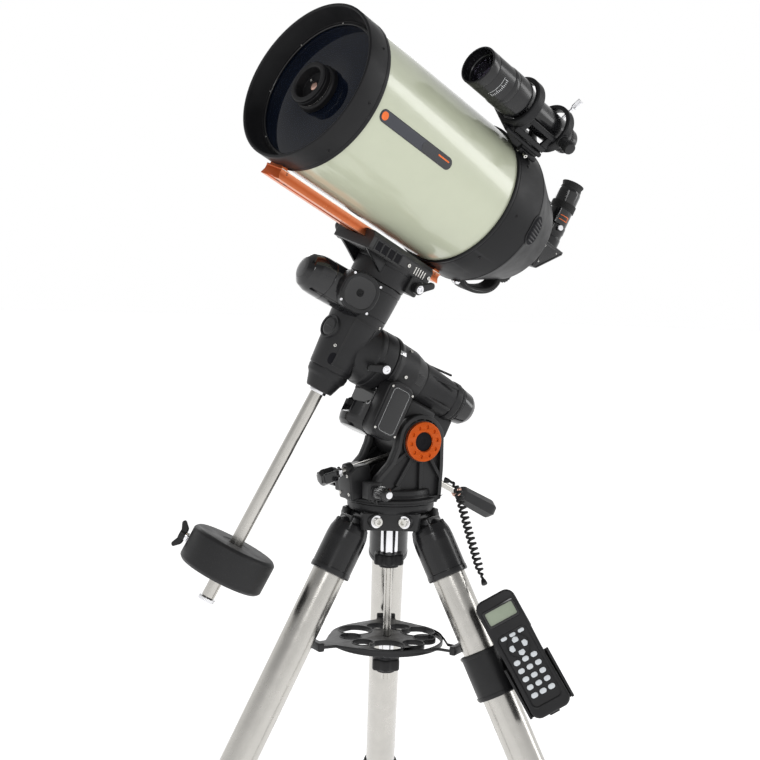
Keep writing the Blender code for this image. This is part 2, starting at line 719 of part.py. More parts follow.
WEIGHT_SCREW = shift(z=-0.3620) @ spin("Z", 62) @ ALONG_X


def weight_knob():
    screw = rod("weight_knob", DEC_HEAD, WEIGHT_SCREW, 0.0040, 0.0740, 0.0106, PLASTIC, 12)
    wing = slab("weight_knob_wing", DEC_HEAD, WEIGHT_SCREW @ shift(z=0.0780) @ spin("X", 90),
                rounded_box(0.044, 0.0150, 0.006, 3), 0.0085, PLASTIC)
    return join(screw, wing)


# On the turning neck, its lever pointing along it to the pole.
RA_CLUTCH = shift(-0.0060, -0.0460, -0.0530) @ spin("X", 90) @ spin("Z", -68)
dec_housing()
dec_motor_cover()
counterweight_bar()
bar_stop_screw()
counterweight()
weight_knob()
clutch_lever("ra_clutch_lever", RA, RA_CLUTCH)

# ---------------------------------------------------------------- saddle

DEC = frame("declination_axis", DEC_HEAD, spin("Z", DEC_TURN))
DOVETAIL_WIDE, DOVETAIL_NARROW = 0.0440, 0.0360
DOVETAIL_TOP, DOVETAIL_BOTTOM = 0.1625, 0.1475
SADDLE_SCREWS = (0.0510, -0.0250)  # forward of the declination axis
SADDLE_SCREW_UP = 0.1512


def dovetail_section(slack):
    wide, narrow = DOVETAIL_WIDE / 2 + slack, DOVETAIL_NARROW / 2 + slack
    low, high = DOVETAIL_BOTTOM - slack, DOVETAIL_TOP + slack
    middle = (DOVETAIL_BOTTOM + DOVETAIL_TOP) / 2
    return [(-wide, low), (wide, low), (narrow, middle), (narrow, high), (-narrow, high),
            (-narrow, middle)]


def across(y):
    """Places a slab drawn in the DEC frame's XZ plane at y."""
    return shift(y=y) @ UPRIGHT


def saddle():
    body = slab("saddle", DEC, across(0.0130), saddle_section(), 0.1350, CASTING, 0.0015)
    puck = turned(
        "saddle_neck", DEC, shift(),
        [(0.0090, 0.1380), (0.0440, 0.1380), (0.0430, 0.1025), (0.0090, 0.1025)], CASTING, 20)
    shaft = pipe("saddle_shaft", DEC, shift(), 0.0102, 0.0070, 0.1360, 0.0700, STEEL, 12)
    lever_boss = block("clutch_boss", DEC, shift(-0.0270, -0.0330, 0.1220), (0.034, 0.024, 0.028),
                       CASTING)
    join(body, puck, shaft, lever_boss)
    cut(body, slab("dovetail_slot", DEC, across(0.0130), dovetail_section(0.0004), 0.2, CASTING))
    for y in SADDLE_SCREWS:
        hole = shift(0.03, y, SADDLE_SCREW_UP) @ ALONG_X
        cut(body, rod("saddle_screw_hole", DEC, hole, 0.0043, 0.04, -0.012, CASTING, 12))
    return body


def saddle_section():
    """Jaws either side of the dovetail, standing on a floor."""
    return [(-0.0420, 0.1330), (0.0420, 0.1330), (0.0420, 0.1540), (0.0370, 0.1600),
            (-0.0370, 0.1600), (-0.0420, 0.1540)]


def saddle_knob(name, y, radius, long):
    """A clamp screw through the east jaw, bearing on the dovetail's side."""
    local = shift(0.0227, y, SADDLE_SCREW_UP) @ ALONG_X
    reach = 0.0240 + long / 2
    screw = rod(name, DEC, local, 0.0040, reach, 0.0, CHROME, 12)
    head = slab("saddle_knob_head", DEC, local @ shift(z=reach), lobed(radius, 0.0035, 4, 5), long,
                PLASTIC)
    return join(screw, head)


# On the saddle's neck, its lever pointing back and up.
DEC_CLUTCH = shift(-0.0440, -0.0330, 0.1210) @ spin("Y", -90) @ spin("Z", 127)
saddle()
saddle_knob("saddle_clamp_knob", SADDLE_SCREWS[0], 0.0165, 0.0210)
saddle_knob("saddle_safety_screw", SADDLE_SCREWS[1], 0.0085, 0.0120)
clutch_lever("dec_clutch_lever", DEC, DEC_CLUTCH)

# ---------------------------------------------------------------- optical tube

# Z is forward along the optical axis, Y points away from the saddle.
OTA = frame(
    "optical_axis", DEC, shift(z=TUBE_OUT) @ axes((-1, 0, 0), (0, 0, 1), (0, 1, 0)))


def dovetail_bar():
    bar = slab("dovetail_bar", DEC, across(0.0850), dovetail_section(0.0), 0.3500, ORANGE)
    for y in (0.2530, -0.0840):
        foot = block("dovetail_foot", DEC, shift(0, y, 0.1640), (0.030, 0.012, 0.0080), ORANGE)
        cut(foot, rod("foot_seat", OTA, shift(), RING_R + GAP, 0.5, -0.5, ORANGE, 32))
        join(bar, foot)
    return bar


def tube_shell():
    return pipe("tube_shell", OTA, shift(), TUBE_R, TUBE_R - 0.0012, TUBE_FRONT - 0.0365,
                REAR_CELL_FRONT - 0.0100, CREAM, 32)


def front_cell():
    """The cast ring that holds the corrector, with its lip standing ahead of the glass."""
    front, back = TUBE_FRONT, TUBE_FRONT - FRONT_RING_LONG
    seat = front - 0.0300
    ring = turned(
        "front_cell", OTA, shift(),
        [(RING_R - 0.0030, front), (RING_R, front - 0.0010), (RING_R, back + 0.001),
         (RING_R - 0.0010, back), (TUBE_R + GAP, back), (TUBE_R + GAP, front - 0.0360),
         (0.0975, front - 0.0360), (0.0975, seat - 0.0045), (0.1025, seat - 0.0045),
         (0.1025, seat), (0.1045, seat), (0.1125, front)], CASTING, 32)
    return ring


def corrector_lens():
    seat = TUBE_FRONT - 0.0300
    return pipe("corrector_lens", OTA, shift(), 0.1020, 0.0250, seat - 0.0003, seat - 0.0042,
                GLASS, 32)


def secondary_cell():
    seat = TUBE_FRONT - 0.0300
    return turned(
        "secondary_cell", OTA, shift(),
        [(0.0, seat + 0.0180), (0.0220, seat + 0.0180), (0.0235, seat + 0.0240),
         (0.0290, seat + 0.0240), (0.0310, seat + 0.0220), (0.0310, seat + 0.0100),
         (0.0340, seat + 0.0080), (0.0345, seat), (0.0247, seat), (0.0247, seat - 0.0045),
         (0.0330, seat - 0.0045), (0.0330, seat - 0.0200), (0.0, seat - 0.0200)], CASTING, 20)


def rear_cell():
    """A band the width of the tube's rim, then a cone down to the flat rear plate."""
    front, rear = REAR_CELL_FRONT, REAR_PLATE
    return turned(
        "rear_cell", OTA, shift(),
        [(RING_R - 0.0010, front), (RING_R, front - 0.0010), (RING_R, front - 0.0670),
         (0.1140, front - 0.0730), (0.1000, front - 0.1020), (0.0800, rear + 0.0010),
         (0.0790, rear), (0.0255, rear), (0.0255, rear + 0.0080), (0.0740, rear + 0.0080),
         (0.0950, front - 0.0980), (0.1085, front - 0.0650), (0.1085, front - 0.0110),
         (TUBE_R + GAP, front - 0.0110), (TUBE_R + GAP, front)], CASTING, 32)


def primary_mirror():
    back = REAR_CELL_FRONT - 0.0300
    return pipe("primary_mirror", OTA, shift(), APERTURE_R + 0.0010, 0.0262, back + 0.0180, back,
                MIRROR, 32)


def baffle_tube():
    return pipe("baffle_tube", OTA, shift(), 0.0220, 0.0195, 0.1000, REAR_PLATE - 0.0060, CASTING,
                16)


FOCUS_AT = (0.0050, -0.0600)
MIRROR_LOCK_AT = (0.0230, 0.0640)


def rear_knob(name, x, y, radius, long):
    """A knob on the rear plate."""
    local = shift(x, y, REAR_PLATE)
    knob = slab(name, OTA, local @ shift(z=-0.0040 - long / 2), lobed(radius, 0.0015, 6, 4), long,
                RUBBER)
    return join(knob, rod("knob_stem", OTA, local, 0.0045, -0.0004, -0.0060, CHROME, 12))


HANDLE_PATH = (
    # away from the saddle, forward: down from the band, along the cone, and in at the rear
    (-0.1030, -0.1190), (-0.1120, -0.1320), (-0.1130, -0.1500), (-0.1080, -0.1700),
    (-0.0980, -0.1880), (-0.0840, -0.1970), (-0.0680, -0.1960))
HANDLE_WIDE, HANDLE_THICK = 0.0300, 0.0100


def carry_handle():
    """A rubber-covered strap that arches over the cone, its ends seated on the casting."""
    path = smooth([(z, y, 0.0) for y, z in HANDLE_PATH], 3)
    outer, inner = [], []
    for i, point in enumerate(path):
        along = (path[min(i + 1, len(path) - 1)] - path[max(i - 1, 0)]).normalized()
        out = Vector((-along.y, along.x, 0.0)) * HANDLE_THICK / 2
        outer.append(tuple(point + out)[:2])
        inner.append(tuple(point - out)[:2])
    local = shift(x=0.0180) @ axes((0, 0, 1), (0, 1, 0), (-1, 0, 0))
    grip = slab("carry_handle", OTA, local, outer + inner[::-1], HANDLE_WIDE, RUBBER, 0.002)
    clear = turned(
        "handle_seat", OTA, shift(),
        [(0.0, -0.1), (RING_R + GAP, -0.1), (RING_R + GAP, REAR_CELL_FRONT - 0.0672),
         (0.1145, REAR_CELL_FRONT - 0.0732), (0.1005, REAR_CELL_FRONT - 0.1022),
         (0.0808, REAR_PLATE + 0.0010), (0.0798, REAR_PLATE - GAP), (0.0, REAR_PLATE - GAP)],
        CASTING, 32)
    return cut(grip, clear)


def visual_back():
    rear = REAR_PLATE
    return turned(
        "visual_back", OTA, shift(),
        [(0.0240, rear - 0.0004), (0.0300, rear - 0.0010), (0.0300, rear - 0.0200),
         (0.0225, rear - 0.0260), (0.0225, rear - 0.0500), (0.0162, rear - 0.0500),
         (0.0162, rear - 0.0200), (0.0226, rear - 0.0150), (0.0226, rear - 0.0004)], CASTING)


DIAGONAL_TURN = 4.0
DIAGONAL = frame(
    "diagonal_axis", OTA,
    shift(z=REAR_PLATE - 0.0830) @ spin("Z", DIAGONAL_TURN))


def star_diagonal():
    """A right-angle mirror housing; Y is the way the eyepiece stands."""
    side = [(-0.0270, 0.0215), (0.0270, 0.0215), (0.0270, 0.0190), (-0.0190, -0.0270),
            (-0.0270, -0.0270)]
    local = axes((0, 0, -1), (0, 1, 0), (1, 0, 0))
    body = slab("star_diagonal", DIAGONAL, local, side, 0.0380, PLASTIC)
    nose = rod("diagonal_nose", DIAGONAL, shift(), 0.0158, 0.0560, -0.0050, CHROME, 16)
    barrel = rod("diagonal_barrel", DIAGONAL, ALONG_Y, 0.0195, 0.0560, 0.0, PLASTIC, 16)
    join(body, nose, barrel)
    cut(body, rod("diagonal_bore", DIAGONAL, shift(), 0.0135, 0.1, -0.010, PLASTIC, 16))
    return cut(body, rod("barrel_bore", DIAGONAL, ALONG_Y, 0.0162, 0.1, 0.0120, PLASTIC, 16))


def eyepiece():
    return turned(
        "eyepiece", DIAGONAL, ALONG_Y,
        [(0.0120, 0.1300), (0.0175, 0.1280), (0.0160, 0.1210), (0.0185, 0.1180), (0.0190, 0.0960),
         (0.0205, 0.0940), (0.0205, 0.0840), (0.0190, 0.0820), (0.0185, 0.0563), (0.0158, 0.0563),
         (0.0158, 0.0300), (0.0130, 0.0300), (0.0130, 0.0500), (0.0110, 0.0560)], PLASTIC, 16)


# ---------------------------------------------------------------- finder

FINDER_ANGLE = 33.0  # from the direction away from the saddle, towards the west side
FINDER_OUT = 0.1690
FINDER = frame("finder_axis", OTA, spin("Z", -FINDER_ANGLE) @ shift(0, FINDER_OUT, 0))
# Across the rear hoop, a right angle apart: the thumbscrew stands away from the tube.
FINDER_SCREW = shift(z=-0.0800) @ spin("Z", 95) @ ALONG_X
FINDER_PLUNGER = shift(z=-0.0800) @ spin("Z", 10) @ ALONG_X


def finder_bracket():
    front = pipe("finder_bracket", FINDER, shift(), 0.0360, 0.0310, 0.0040, -0.0060, CASTING, 16)
    rear = pipe("rear_hoop", FINDER, shift(), 0.0360, 0.0310, -0.0740, -0.0860, CASTING, 16)
    spine = block("bracket_spine", FINDER, shift(0, -0.0390, -0.0410), (0.030, 0.010, 0.090),
                  CASTING)
    foot = block("bracket_foot", FINDER, shift(0, -0.0465, -0.0720), (0.036, 0.010, 0.032), CASTING)
    clear = turned("tube_clearance", OTA, shift(), [(0.0, 0.1), (RING_R + GAP, 0.1),
                                                    (RING_R + GAP, -0.2), (0.0, -0.2)], CASTING, 32)
    cut(foot, clear)
    join(front, spine, rear, foot)
    bore = rod("bracket_bore", FINDER, shift(), 0.0310, 0.1, -0.2, CASTING, 16)
    cut(front, bore)
    join(front, rod("spring_plunger", FINDER, FINDER_PLUNGER, 0.0086, 0.0600, 0.0335, CASTING, 12))
    hole = FINDER_SCREW
    return cut(front, rod("finder_screw_hole", FINDER, hole, 0.0028, 0.06, 0.02, CASTING, 12))


def finder_tube():
    return turned(
        "finder_tube", FINDER, shift(),
        [(0.0290, 0.1050), (0.0290, 0.0500), (0.0300, 0.0480), (0.0300, 0.0100), (0.0275, 0.0060),
         (0.0220, -0.0140), (0.0220, -0.1020), (0.0190, -0.1040), (0.0190, -0.1230),
         (0.0120, -0.1250), (0.0120, -0.1100), (0.0200, -0.0950), (0.0200, -0.0200),
         (0.0250, 0.0850), (0.0265, 0.1050)], PLASTIC, 16)


def finder_screw():
    local = FINDER_SCREW
    screw = rod("finder_screw", FINDER, local, 0.0025, 0.0560, 0.0224, CHROME, 12)
    return join(screw, rod("finder_screw_head", FINDER, local, 0.0045, 0.0590, 0.0440, CHROME, 12))


for make in (dovetail_bar, carry_handle, tube_shell, front_cell, corrector_lens, secondary_cell,
             rear_cell, primary_mirror, baffle_tube, visual_back, star_diagonal, eyepiece,
             finder_bracket, finder_tube, finder_screw):
    make()
rear_knob("focus_knob", *FOCUS_AT, 0.0140, 0.0240)
rear_knob("mirror_lock_knob", *MIRROR_LOCK_AT, 0.0110, 0.0120)

# ---------------------------------------------------------------- hand controller

WEST_LEG = LEGS["west"]
HANDSET = frame(
    "handset_frame", WEST_LEG,
    shift(0.0760, -0.0070, -0.2410) @ spin("Y", -6.5) @ spin("Z", 27.4))
HANDSET_LONG, HANDSET_WIDE, HANDSET_THICK = 0.186, 0.062, 0.026


def handset_holder():
    """A cradle behind the controller, on a clip round the leg."""
    clip = pipe("handset_holder", WEST_LEG, shift(x=LEG_AXIS_OUT), 0.0310, LEG_TUBE_R + GAP,
                -0.2150, -0.2850, PLASTIC, 16)
    local = shift(0, HANDSET_THICK / 2 + 0.0035, -0.0480)
    plate = block("cradle_back", HANDSET, local, (0.0725, 0.005, 0.078), PLASTIC, 0.001)
    for side in (-1, 1):
        lip = shift(side * (HANDSET_WIDE / 2 + 0.0030), 0.004, -0.0480)
        join(plate, block("cradle_lip", HANDSET, lip, (0.0045, 0.028, 0.078), PLASTIC))
    arm = block("cradle_arm", WEST_LEG, shift(0.0560, 0.0100, -0.2560), (0.046, 0.016, 0.044),
                PLASTIC)
    cut(arm, block("arm_trim", HANDSET, shift(0, -0.0490 + HANDSET_THICK / 2 + 0.0012, 0),
                   (0.2, 0.1, 0.3), PLASTIC))
    cut(arm, rod("arm_leg_trim", WEST_LEG, shift(x=LEG_AXIS_OUT), 0.0285, -0.1, -0.4, PLASTIC, 16))
    return join(clip, arm, plate)


def hand_controller():
    outline = rounded_box(HANDSET_WIDE, HANDSET_LONG, 0.014, 5)
    local = axes((1, 0, 0), (0, 0, 1), (0, -1, 0))
    body = slab("hand_controller", HANDSET, local, outline, HANDSET_THICK, PLASTIC, 0.005)
    pocket = block("keypad_pocket", HANDSET, shift(0, -HANDSET_THICK / 2, -0.0200),
                   (0.0440, 0.0040, 0.1100), PLASTIC)
    return cut(body, pocket)


def controller_keypad():
    """One moulded rubber mat, which carries every key."""
    face = -HANDSET_THICK / 2 + 0.0006
    return block("controller_keypad", HANDSET, shift(0, face, -0.0200), (0.0430, 0.0024, 0.1090),
                 KEYS)


CORD_R = 0.0070
CORD_ROUTE = (
    (0.0690, -0.0420, 0.0400), (0.0780, -0.0500, 0.0370), (0.0830, -0.0600, 0.0240),
    (0.0840, -0.0730, -0.0010), (0.0850, -0.0900, -0.0330), (0.0860, -0.1080, -0.0640),
    (0.0850, -0.1260, -0.0890), (0.0830, -0.1390, -0.1020))


def curly_cord():
    return wire("curly_cord", TRIPOD, shift(), smooth(CORD_ROUTE, 3), CORD_R, PLASTIC, 2)


handset_holder()
hand_controller()
controller_keypad()
curly_cord()
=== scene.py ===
import json
import math

import bmesh
import bpy
from mathutils import Matrix, Vector


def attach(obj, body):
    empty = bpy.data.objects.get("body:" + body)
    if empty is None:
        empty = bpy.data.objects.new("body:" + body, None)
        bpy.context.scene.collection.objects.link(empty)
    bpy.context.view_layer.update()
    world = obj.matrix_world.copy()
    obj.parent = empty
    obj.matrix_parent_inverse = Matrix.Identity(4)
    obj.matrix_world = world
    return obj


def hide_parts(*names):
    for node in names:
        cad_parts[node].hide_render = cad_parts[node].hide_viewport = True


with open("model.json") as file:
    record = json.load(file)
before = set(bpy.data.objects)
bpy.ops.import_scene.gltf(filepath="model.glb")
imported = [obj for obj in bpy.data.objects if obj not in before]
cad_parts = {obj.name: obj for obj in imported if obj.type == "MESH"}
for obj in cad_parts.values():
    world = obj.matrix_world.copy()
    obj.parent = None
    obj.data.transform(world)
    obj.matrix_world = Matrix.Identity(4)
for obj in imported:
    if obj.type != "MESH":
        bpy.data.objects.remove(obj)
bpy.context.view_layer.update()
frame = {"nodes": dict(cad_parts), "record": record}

# ---------------------------------------------------------------- frames
# This script's own lengths are in millimetres. The CAD and Blender are in metres.

MM = 0.001


def shift(x=0, y=0, z=0):
    return Matrix.Translation((x, y, z))


def spin(axis, degrees):
    return Matrix.Rotation(math.radians(degrees), 4, axis)


def axes(x, y, z):
    """The rotation whose columns are the three given directions."""
    return Matrix((x, y, z)).transposed().to_4x4()


ALONG_X = spin("Y", 90)
ALONG_Y = spin("X", -90)
BACK_Y = spin("X", 90)
BACK_X = spin("Y", -90)
TURNED_OVER = spin("X", 180)
UPRIGHT = axes((1, 0, 0), (0, 0, 1), (0, -1, 0))


def facing(side):
    """Turns Z to +Y for the side 1 and to -Y for the side -1."""
    return ALONG_Y if side > 0 else BACK_Y


HEAD_HEIGHT = 780
TRIPOD = shift(71.8, 0, HEAD_HEIGHT)
LEG_LEAN = 28.2
LEG_AXIS_OUT = 8.7
LEG_PIVOT_DROP = 16
LEG_AZIMUTHS = {"north": 180.0, "west": 300.0, "east": 60.0}
LEGS = {name: TRIPOD @ spin("Z", azimuth) @ shift(50, 0, -LEG_PIVOT_DROP) @ spin("Y", -LEG_LEAN)
        for name, azimuth in LEG_AZIMUTHS.items()}
PIVOT_X, PIVOT_Z = 21.3, 102.1
POLE = math.radians(25.8)
OVER_POLE = Vector((math.sin(POLE), 0, math.cos(POLE)))
TO_POLE = Vector((-math.cos(POLE), 0, math.sin(POLE)))
HINGE = TRIPOD @ shift(PIVOT_X, 0, PIVOT_Z) @ axes(OVER_POLE, (0, 1, 0), TO_POLE)
POLAR = HINGE @ shift(82.5, 0, 162.1)
RA = POLAR @ spin("Z", -8.5)
DEC_HEAD = RA @ axes((0, 1, 0), (0, 0, 1), (1, 0, 0))
DEC = DEC_HEAD @ spin("Z", 14.1)
OTA = DEC @ shift(z=282) @ axes((-1, 0, 0), (0, 0, 1), (0, 1, 0))
REAR_PLATE, REAR_FRONT, TUBE_FRONT = -202, -54, 284
TUBE_R, RING_R = 112.5, 116.5
DIAGONAL = OTA @ shift(z=REAR_PLATE - 83) @ spin("Z", 4.0)
FINDER = OTA @ spin("Z", -33.0) @ shift(0, 169, 0)
HANDSET = LEGS["west"] @ shift(76, -7, -241) @ spin("Y", -6.5) @ spin("Z", 27.4)

# ---------------------------------------------------------------- shapes
# A shape is (corners, faces) in the row frame, in millimetres.


def soften(points, size, closed, count=3):
    """Rounds the corners of a profile."""
    rounded, total = [], len(points)
    for i, point in enumerate(points):
        here = Vector(point)
        if not closed and i in (0, total - 1):
            rounded.append(tuple(here))
            continue
        back, ahead = Vector(points[i - 1]) - here, Vector(points[(i + 1) % total]) - here
        reach = min(size, back.length * 0.45, ahead.length * 0.45)
        if reach < 0.01 or back.angle(ahead, 0) > math.radians(176):
            rounded.append(tuple(here))
            continue
        start, end = here + back.normalized() * reach, here + ahead.normalized() * reach
        for k in range(count + 1):
            t = k / count
            rounded.append(tuple((1 - t) ** 2 * start + 2 * t * (1 - t) * here + t * t * end))
    return rounded


def lathe(m, profile, steps=64, soft=0.6):
    """A profile of (radius, height) turned about Z."""
    closed = profile[0][0] > 0
    corners, faces, rings = [], [], []
    for r, z in soften(profile, soft, closed):
        if r < 0.001:
            rings.append([len(corners)] * steps)
            corners.append(m @ Vector((0, 0, z)))
            continue
        rings.append(list(range(len(corners), len(corners) + steps)))
        corners += [m @ Vector((x, y, z)) for x, y in circle(0, 0, r, steps)]
    pairs = list(zip(rings, rings[1:]))
    if closed:
        pairs.append((rings[-1], rings[0]))
    for p, q in pairs:
        for i in range(steps):
            j = (i + 1) % steps
            loop = [p[i], q[i], q[j], p[j]]
            face = [v for k, v in enumerate(loop) if v not in loop[:k]]
            if len(face) > 2:
                faces.append(face)
    return corners, faces


def rod(m, radius, top, bottom, soft=0.6, steps=48):
    return lathe(m, [(0, top), (radius, top), (radius, bottom), (0, bottom)], steps, soft)


def ring(m, outer, inner, top, bottom, soft=0.6, steps=64):
    return lathe(m, [(outer, top), (outer, bottom), (inner, bottom), (inner, top)], steps, soft)


def prism(m, outline, low, high, bevel=0.8, holes=(), rounds=2):
    """A flat outline with holes in local XY, from low to high along Z, its edges rounded."""
    bevel = min(bevel, (high - low) * 0.45)
    curve = bpy.data.curves.new("outline", "CURVE")
    curve.dimensions = "2D"
    curve.fill_mode = "BOTH"
    curve.extrude = (high - low) / 2 - bevel
    curve.bevel_depth, curve.offset, curve.bevel_resolution = bevel, -bevel, rounds
    for loop in (outline, *holes):
        spline = curve.splines.new("POLY")
        spline.points.add(len(loop) - 1)
        for point, (x, y) in zip(spline.points, loop):
            point.co = (x, y, 0, 1.0)
        spline.use_cyclic_u = True
    obj = bpy.data.objects.new("outline", curve)
    bpy.context.scene.collection.objects.link(obj)
    graph = bpy.context.evaluated_depsgraph_get()
    mesh = bpy.data.meshes.new_from_object(obj.evaluated_get(graph))
    shape = bmesh.new()
    shape.from_mesh(mesh)
    bmesh.ops.remove_doubles(shape, verts=shape.verts, dist=0.005)
    at = m @ shift(z=(low + high) / 2)
    corners = [at @ v.co for v in shape.verts]
    faces = [[v.index for v in f.verts] for f in shape.faces]
    shape.free()
    bpy.data.objects.remove(obj, do_unlink=True)
    bpy.data.curves.remove(curve)
    bpy.data.meshes.remove(mesh)
    return corners, faces


def arc(cx, cy, radius, start, end, count):
    turns = [math.radians(start + (end - start) * i / count) for i in range(count + 1)]
    return [(cx + radius * math.cos(a), cy + radius * math.sin(a)) for a in turns]


def circle(cx, cy, radius, count=48):
    return arc(cx, cy, radius, 0, 360, count)[:-1]


def rounded_box(width, height, radius, count=6, cx=0, cy=0):
    x, y = width / 2 - radius, height / 2 - radius
    ends = [(x, y, 0), (-x, y, 90), (-x, -y, 180), (x, -y, 270)]
    return [p for a, b, t in ends for p in arc(cx + a, cy + b, radius, t, t + 90, count)]


def lobed(radius, depth, lobes, per_lobe=14):
    points = []
    for i in range(lobes * per_lobe):
        a = 2 * math.pi * i / (lobes * per_lobe)
        r = radius - depth * (0.5 - 0.5 * math.cos(lobes * a))
        points.append((r * math.cos(a), r * math.sin(a)))
    return points


def round_corners(points, radius, count=4):
    """Rounds each corner of a closed outline by about radius."""
    return soften(points, radius, True, count)


def brick(m, size, radius=2, bevel=1.2):
    """A rounded block, centred."""
    radius = min(radius, size[0] * 0.45, size[1] * 0.45)
    return prism(m, rounded_box(size[0], size[1], radius), -size[2] / 2, size[2] / 2, bevel)


def smooth(points, per_span):
    """A Catmull-Rom curve through the given points."""
    knots = [Vector(p) for p in points]
    knots = [2 * knots[0] - knots[1]] + knots + [2 * knots[-1] - knots[-2]]
    curve = []
    for a, b, c, d in zip(knots, knots[1:], knots[2:], knots[3:]):
        for i in range(per_span):
            t = i / per_span
            curve.append(0.5 * (2 * b + (c - a) * t + (2 * a - 5 * b + 4 * c - d) * t * t
                                + (3 * b - a - 3 * c + d) * t ** 3))
    return curve + [knots[-2]]


def moving_frames(points):
    """A matrix at each point of a path, Z along it, turning as little as it can."""
    tangents = []
    for i in range(len(points)):
        ahead, back = points[min(i + 1, len(points) - 1)], points[max(i - 1, 0)]
        tangents.append((ahead - back).normalized())
    side = tangents[0].orthogonal().normalized()
    frames = []
    for point, tangent in zip(points, tangents):
        side = (side - tangent * side.dot(tangent)).normalized()
        frames.append(shift(*point) @ axes(side, tangent.cross(side), tangent))
    return frames


def skinned(rows, first=True):
    """Closed rows of corners joined in turn, with the last row filled, and the first if told."""
    sides = len(rows[0])
    count = sides * len(rows)
    faces = [[low + i, low + j, low + sides + j, low + sides + i]
             for low in range(0, count - sides, sides) for i, j in enumerate([*range(1, sides), 0])]
    if first:
        faces.append(list(range(sides)))
    faces.append(list(range(count - sides, count)))
    return [corner for row in rows for corner in row], faces


def tube(m, points, radius, sides=20):
    """A round tube through the points, with domed ends."""
    frames = moving_frames([Vector(p) for p in points])
    domes = [(radius * 0.5 * math.sin(a), radius * math.cos(a))
             for a in (k * math.pi / 6.6 for k in (3, 2, 1))]
    rows = [(frames[0] @ shift(z=-out), r) for out, r in domes]
    rows += [(at, radius) for at in frames]
    rows += [(frames[-1] @ shift(z=out), r) for out, r in reversed(domes)]
    return skinned([[m @ at @ Vector((x, y, 0)) for x, y in circle(0, 0, r, sides)]
                    for at, r in rows])


def wrapped(m, radius_at, angle, low, high, half, thick, corner=3, rows=24, cols=16):
    """A thin plate with rounded corners laid on a turned body; half is its half width."""
    corners, faces = [], []
    middle, length = (low + high) / 2, high - low
    for i in range(rows + 1):
        z = low + length * (0.5 - 0.5 * math.cos(math.pi * i / rows))
        edge = min(z - low, high - z)
        inset = 0
        if edge < corner:
            inset = corner - math.sqrt(max(corner ** 2 - (corner - edge) ** 2, 0))
        for lift in (-0.6, thick):
            r = radius_at(z) + lift
            for j in range(cols + 1):
                a = math.radians(angle) + (half - inset) * (2 * j / cols - 1) / radius_at(middle)
                corners.append(m @ Vector((r * math.cos(a), r * math.sin(a), z)))
    span = cols + 1
    for a in range(0, rows * 2 * span, 2 * span):
        b = a + 2 * span
        for j in range(cols):
            faces.append([a + span + j, a + span + j + 1, b + span + j + 1, b + span + j])
            faces.append([a + j, b + j, b + j + 1, a + j + 1])
        for j in (0, cols):
            faces.append([a + j, a + span + j, b + span + j, b + j])
    for a in (0, rows * 2 * span):
        faces += [[a + j, a + j + 1, a + span + j + 1, a + span + j] for j in range(cols)]
    return corners, faces


def cap_screw(m, radius, high):
    """A cap screw standing on Z = 0, with its hexagon socket."""
    socket = radius * 0.52
    head = prism(m, circle(0, 0, radius, 28), 0, high, 0.3, [circle(0, 0, socket, 6)])
    return merged(head, rod(m, socket * 1.1, high * 0.35, 0, 0, 16))


def merged(*shapes):
    corners, faces = [], []
    for more, loops in shapes:
        base = len(corners)
        corners += more
        faces += [[base + i for i in loop] for loop in loops]
    return corners, faces


EDGE_ANGLE = math.radians(35)  # edges sharper than this are shaded as edges


def piece(name, body, look, *shapes, hides=()):
    """One smooth-shaded object of these shapes, riding on body, in place of the CAD nodes."""
    corners, faces = merged(*shapes)
    mesh = bpy.data.meshes.new(name)
    mesh.from_pydata([tuple(c * MM) for c in corners], [], faces)
    shape = bmesh.new()
    shape.from_mesh(mesh)
    bmesh.ops.remove_doubles(shape, verts=shape.verts, dist=0.000002)
    bmesh.ops.dissolve_degenerate(shape, dist=0.000002, edges=shape.edges)
    bmesh.ops.recalc_face_normals(shape, faces=shape.faces)
    shape.to_mesh(mesh)
    shape.free()
    mesh.shade_smooth()
    mesh.set_sharp_from_angle(angle=EDGE_ANGLE)
    mesh.materials.append(look[0])
    obj = bpy.data.objects.new(name, mesh)
    bpy.context.scene.collection.objects.link(obj)
    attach(obj, body)
    if hides:
        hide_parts(*hides)
    return obj


# ---------------------------------------------------------------- materials


class Nodes:
    """A material's nodes, made and linked in short calls."""

    def __init__(self, name):
        self.material = bpy.data.materials.new(name)
        self.material.use_nodes = True
        self.tree = self.material.node_tree
        self.shader = self.tree.nodes["Principled BSDF"]

    def add(self, kind, inputs=(), **settings):
        node = self.tree.nodes.new(kind)
        for key, value in settings.items():
            setattr(node, key, value)
        for key, value in dict(inputs).items():
            self.put(node.inputs[key], value)
        return node

    def put(self, socket, value):
        """Links a socket to another one, or gives it a value of its own."""
        if isinstance(value, bpy.types.NodeSocket):
            self.tree.links.new(value, socket)
        else:
            socket.default_value = value

    def set(self, key, value):
        self.put(self.shader.inputs[key], value)

    def noise(self, where, scale, detail=4.0):
        made = self.add("ShaderNodeTexNoise",
                        {"Vector": where, "Scale": scale, "Detail": detail, "Roughness": 0.55})
        return made.outputs["Fac"]

    def between(self, value, low, high, start=0.3, end=0.7):
        made = self.add("ShaderNodeMapRange",
                        {"Value": value, "From Min": start, "From Max": end, "To Min": low,
                         "To Max": high})
        return made.outputs["Result"]

    def mix(self, amount, a, b):
        made = self.add("ShaderNodeMix", data_type="RGBA")
        for key, value in ((0, amount), (6, a), (7, b)):  # the sockets that take colours
            self.put(made.inputs[key], value)
        return made.outputs[2]


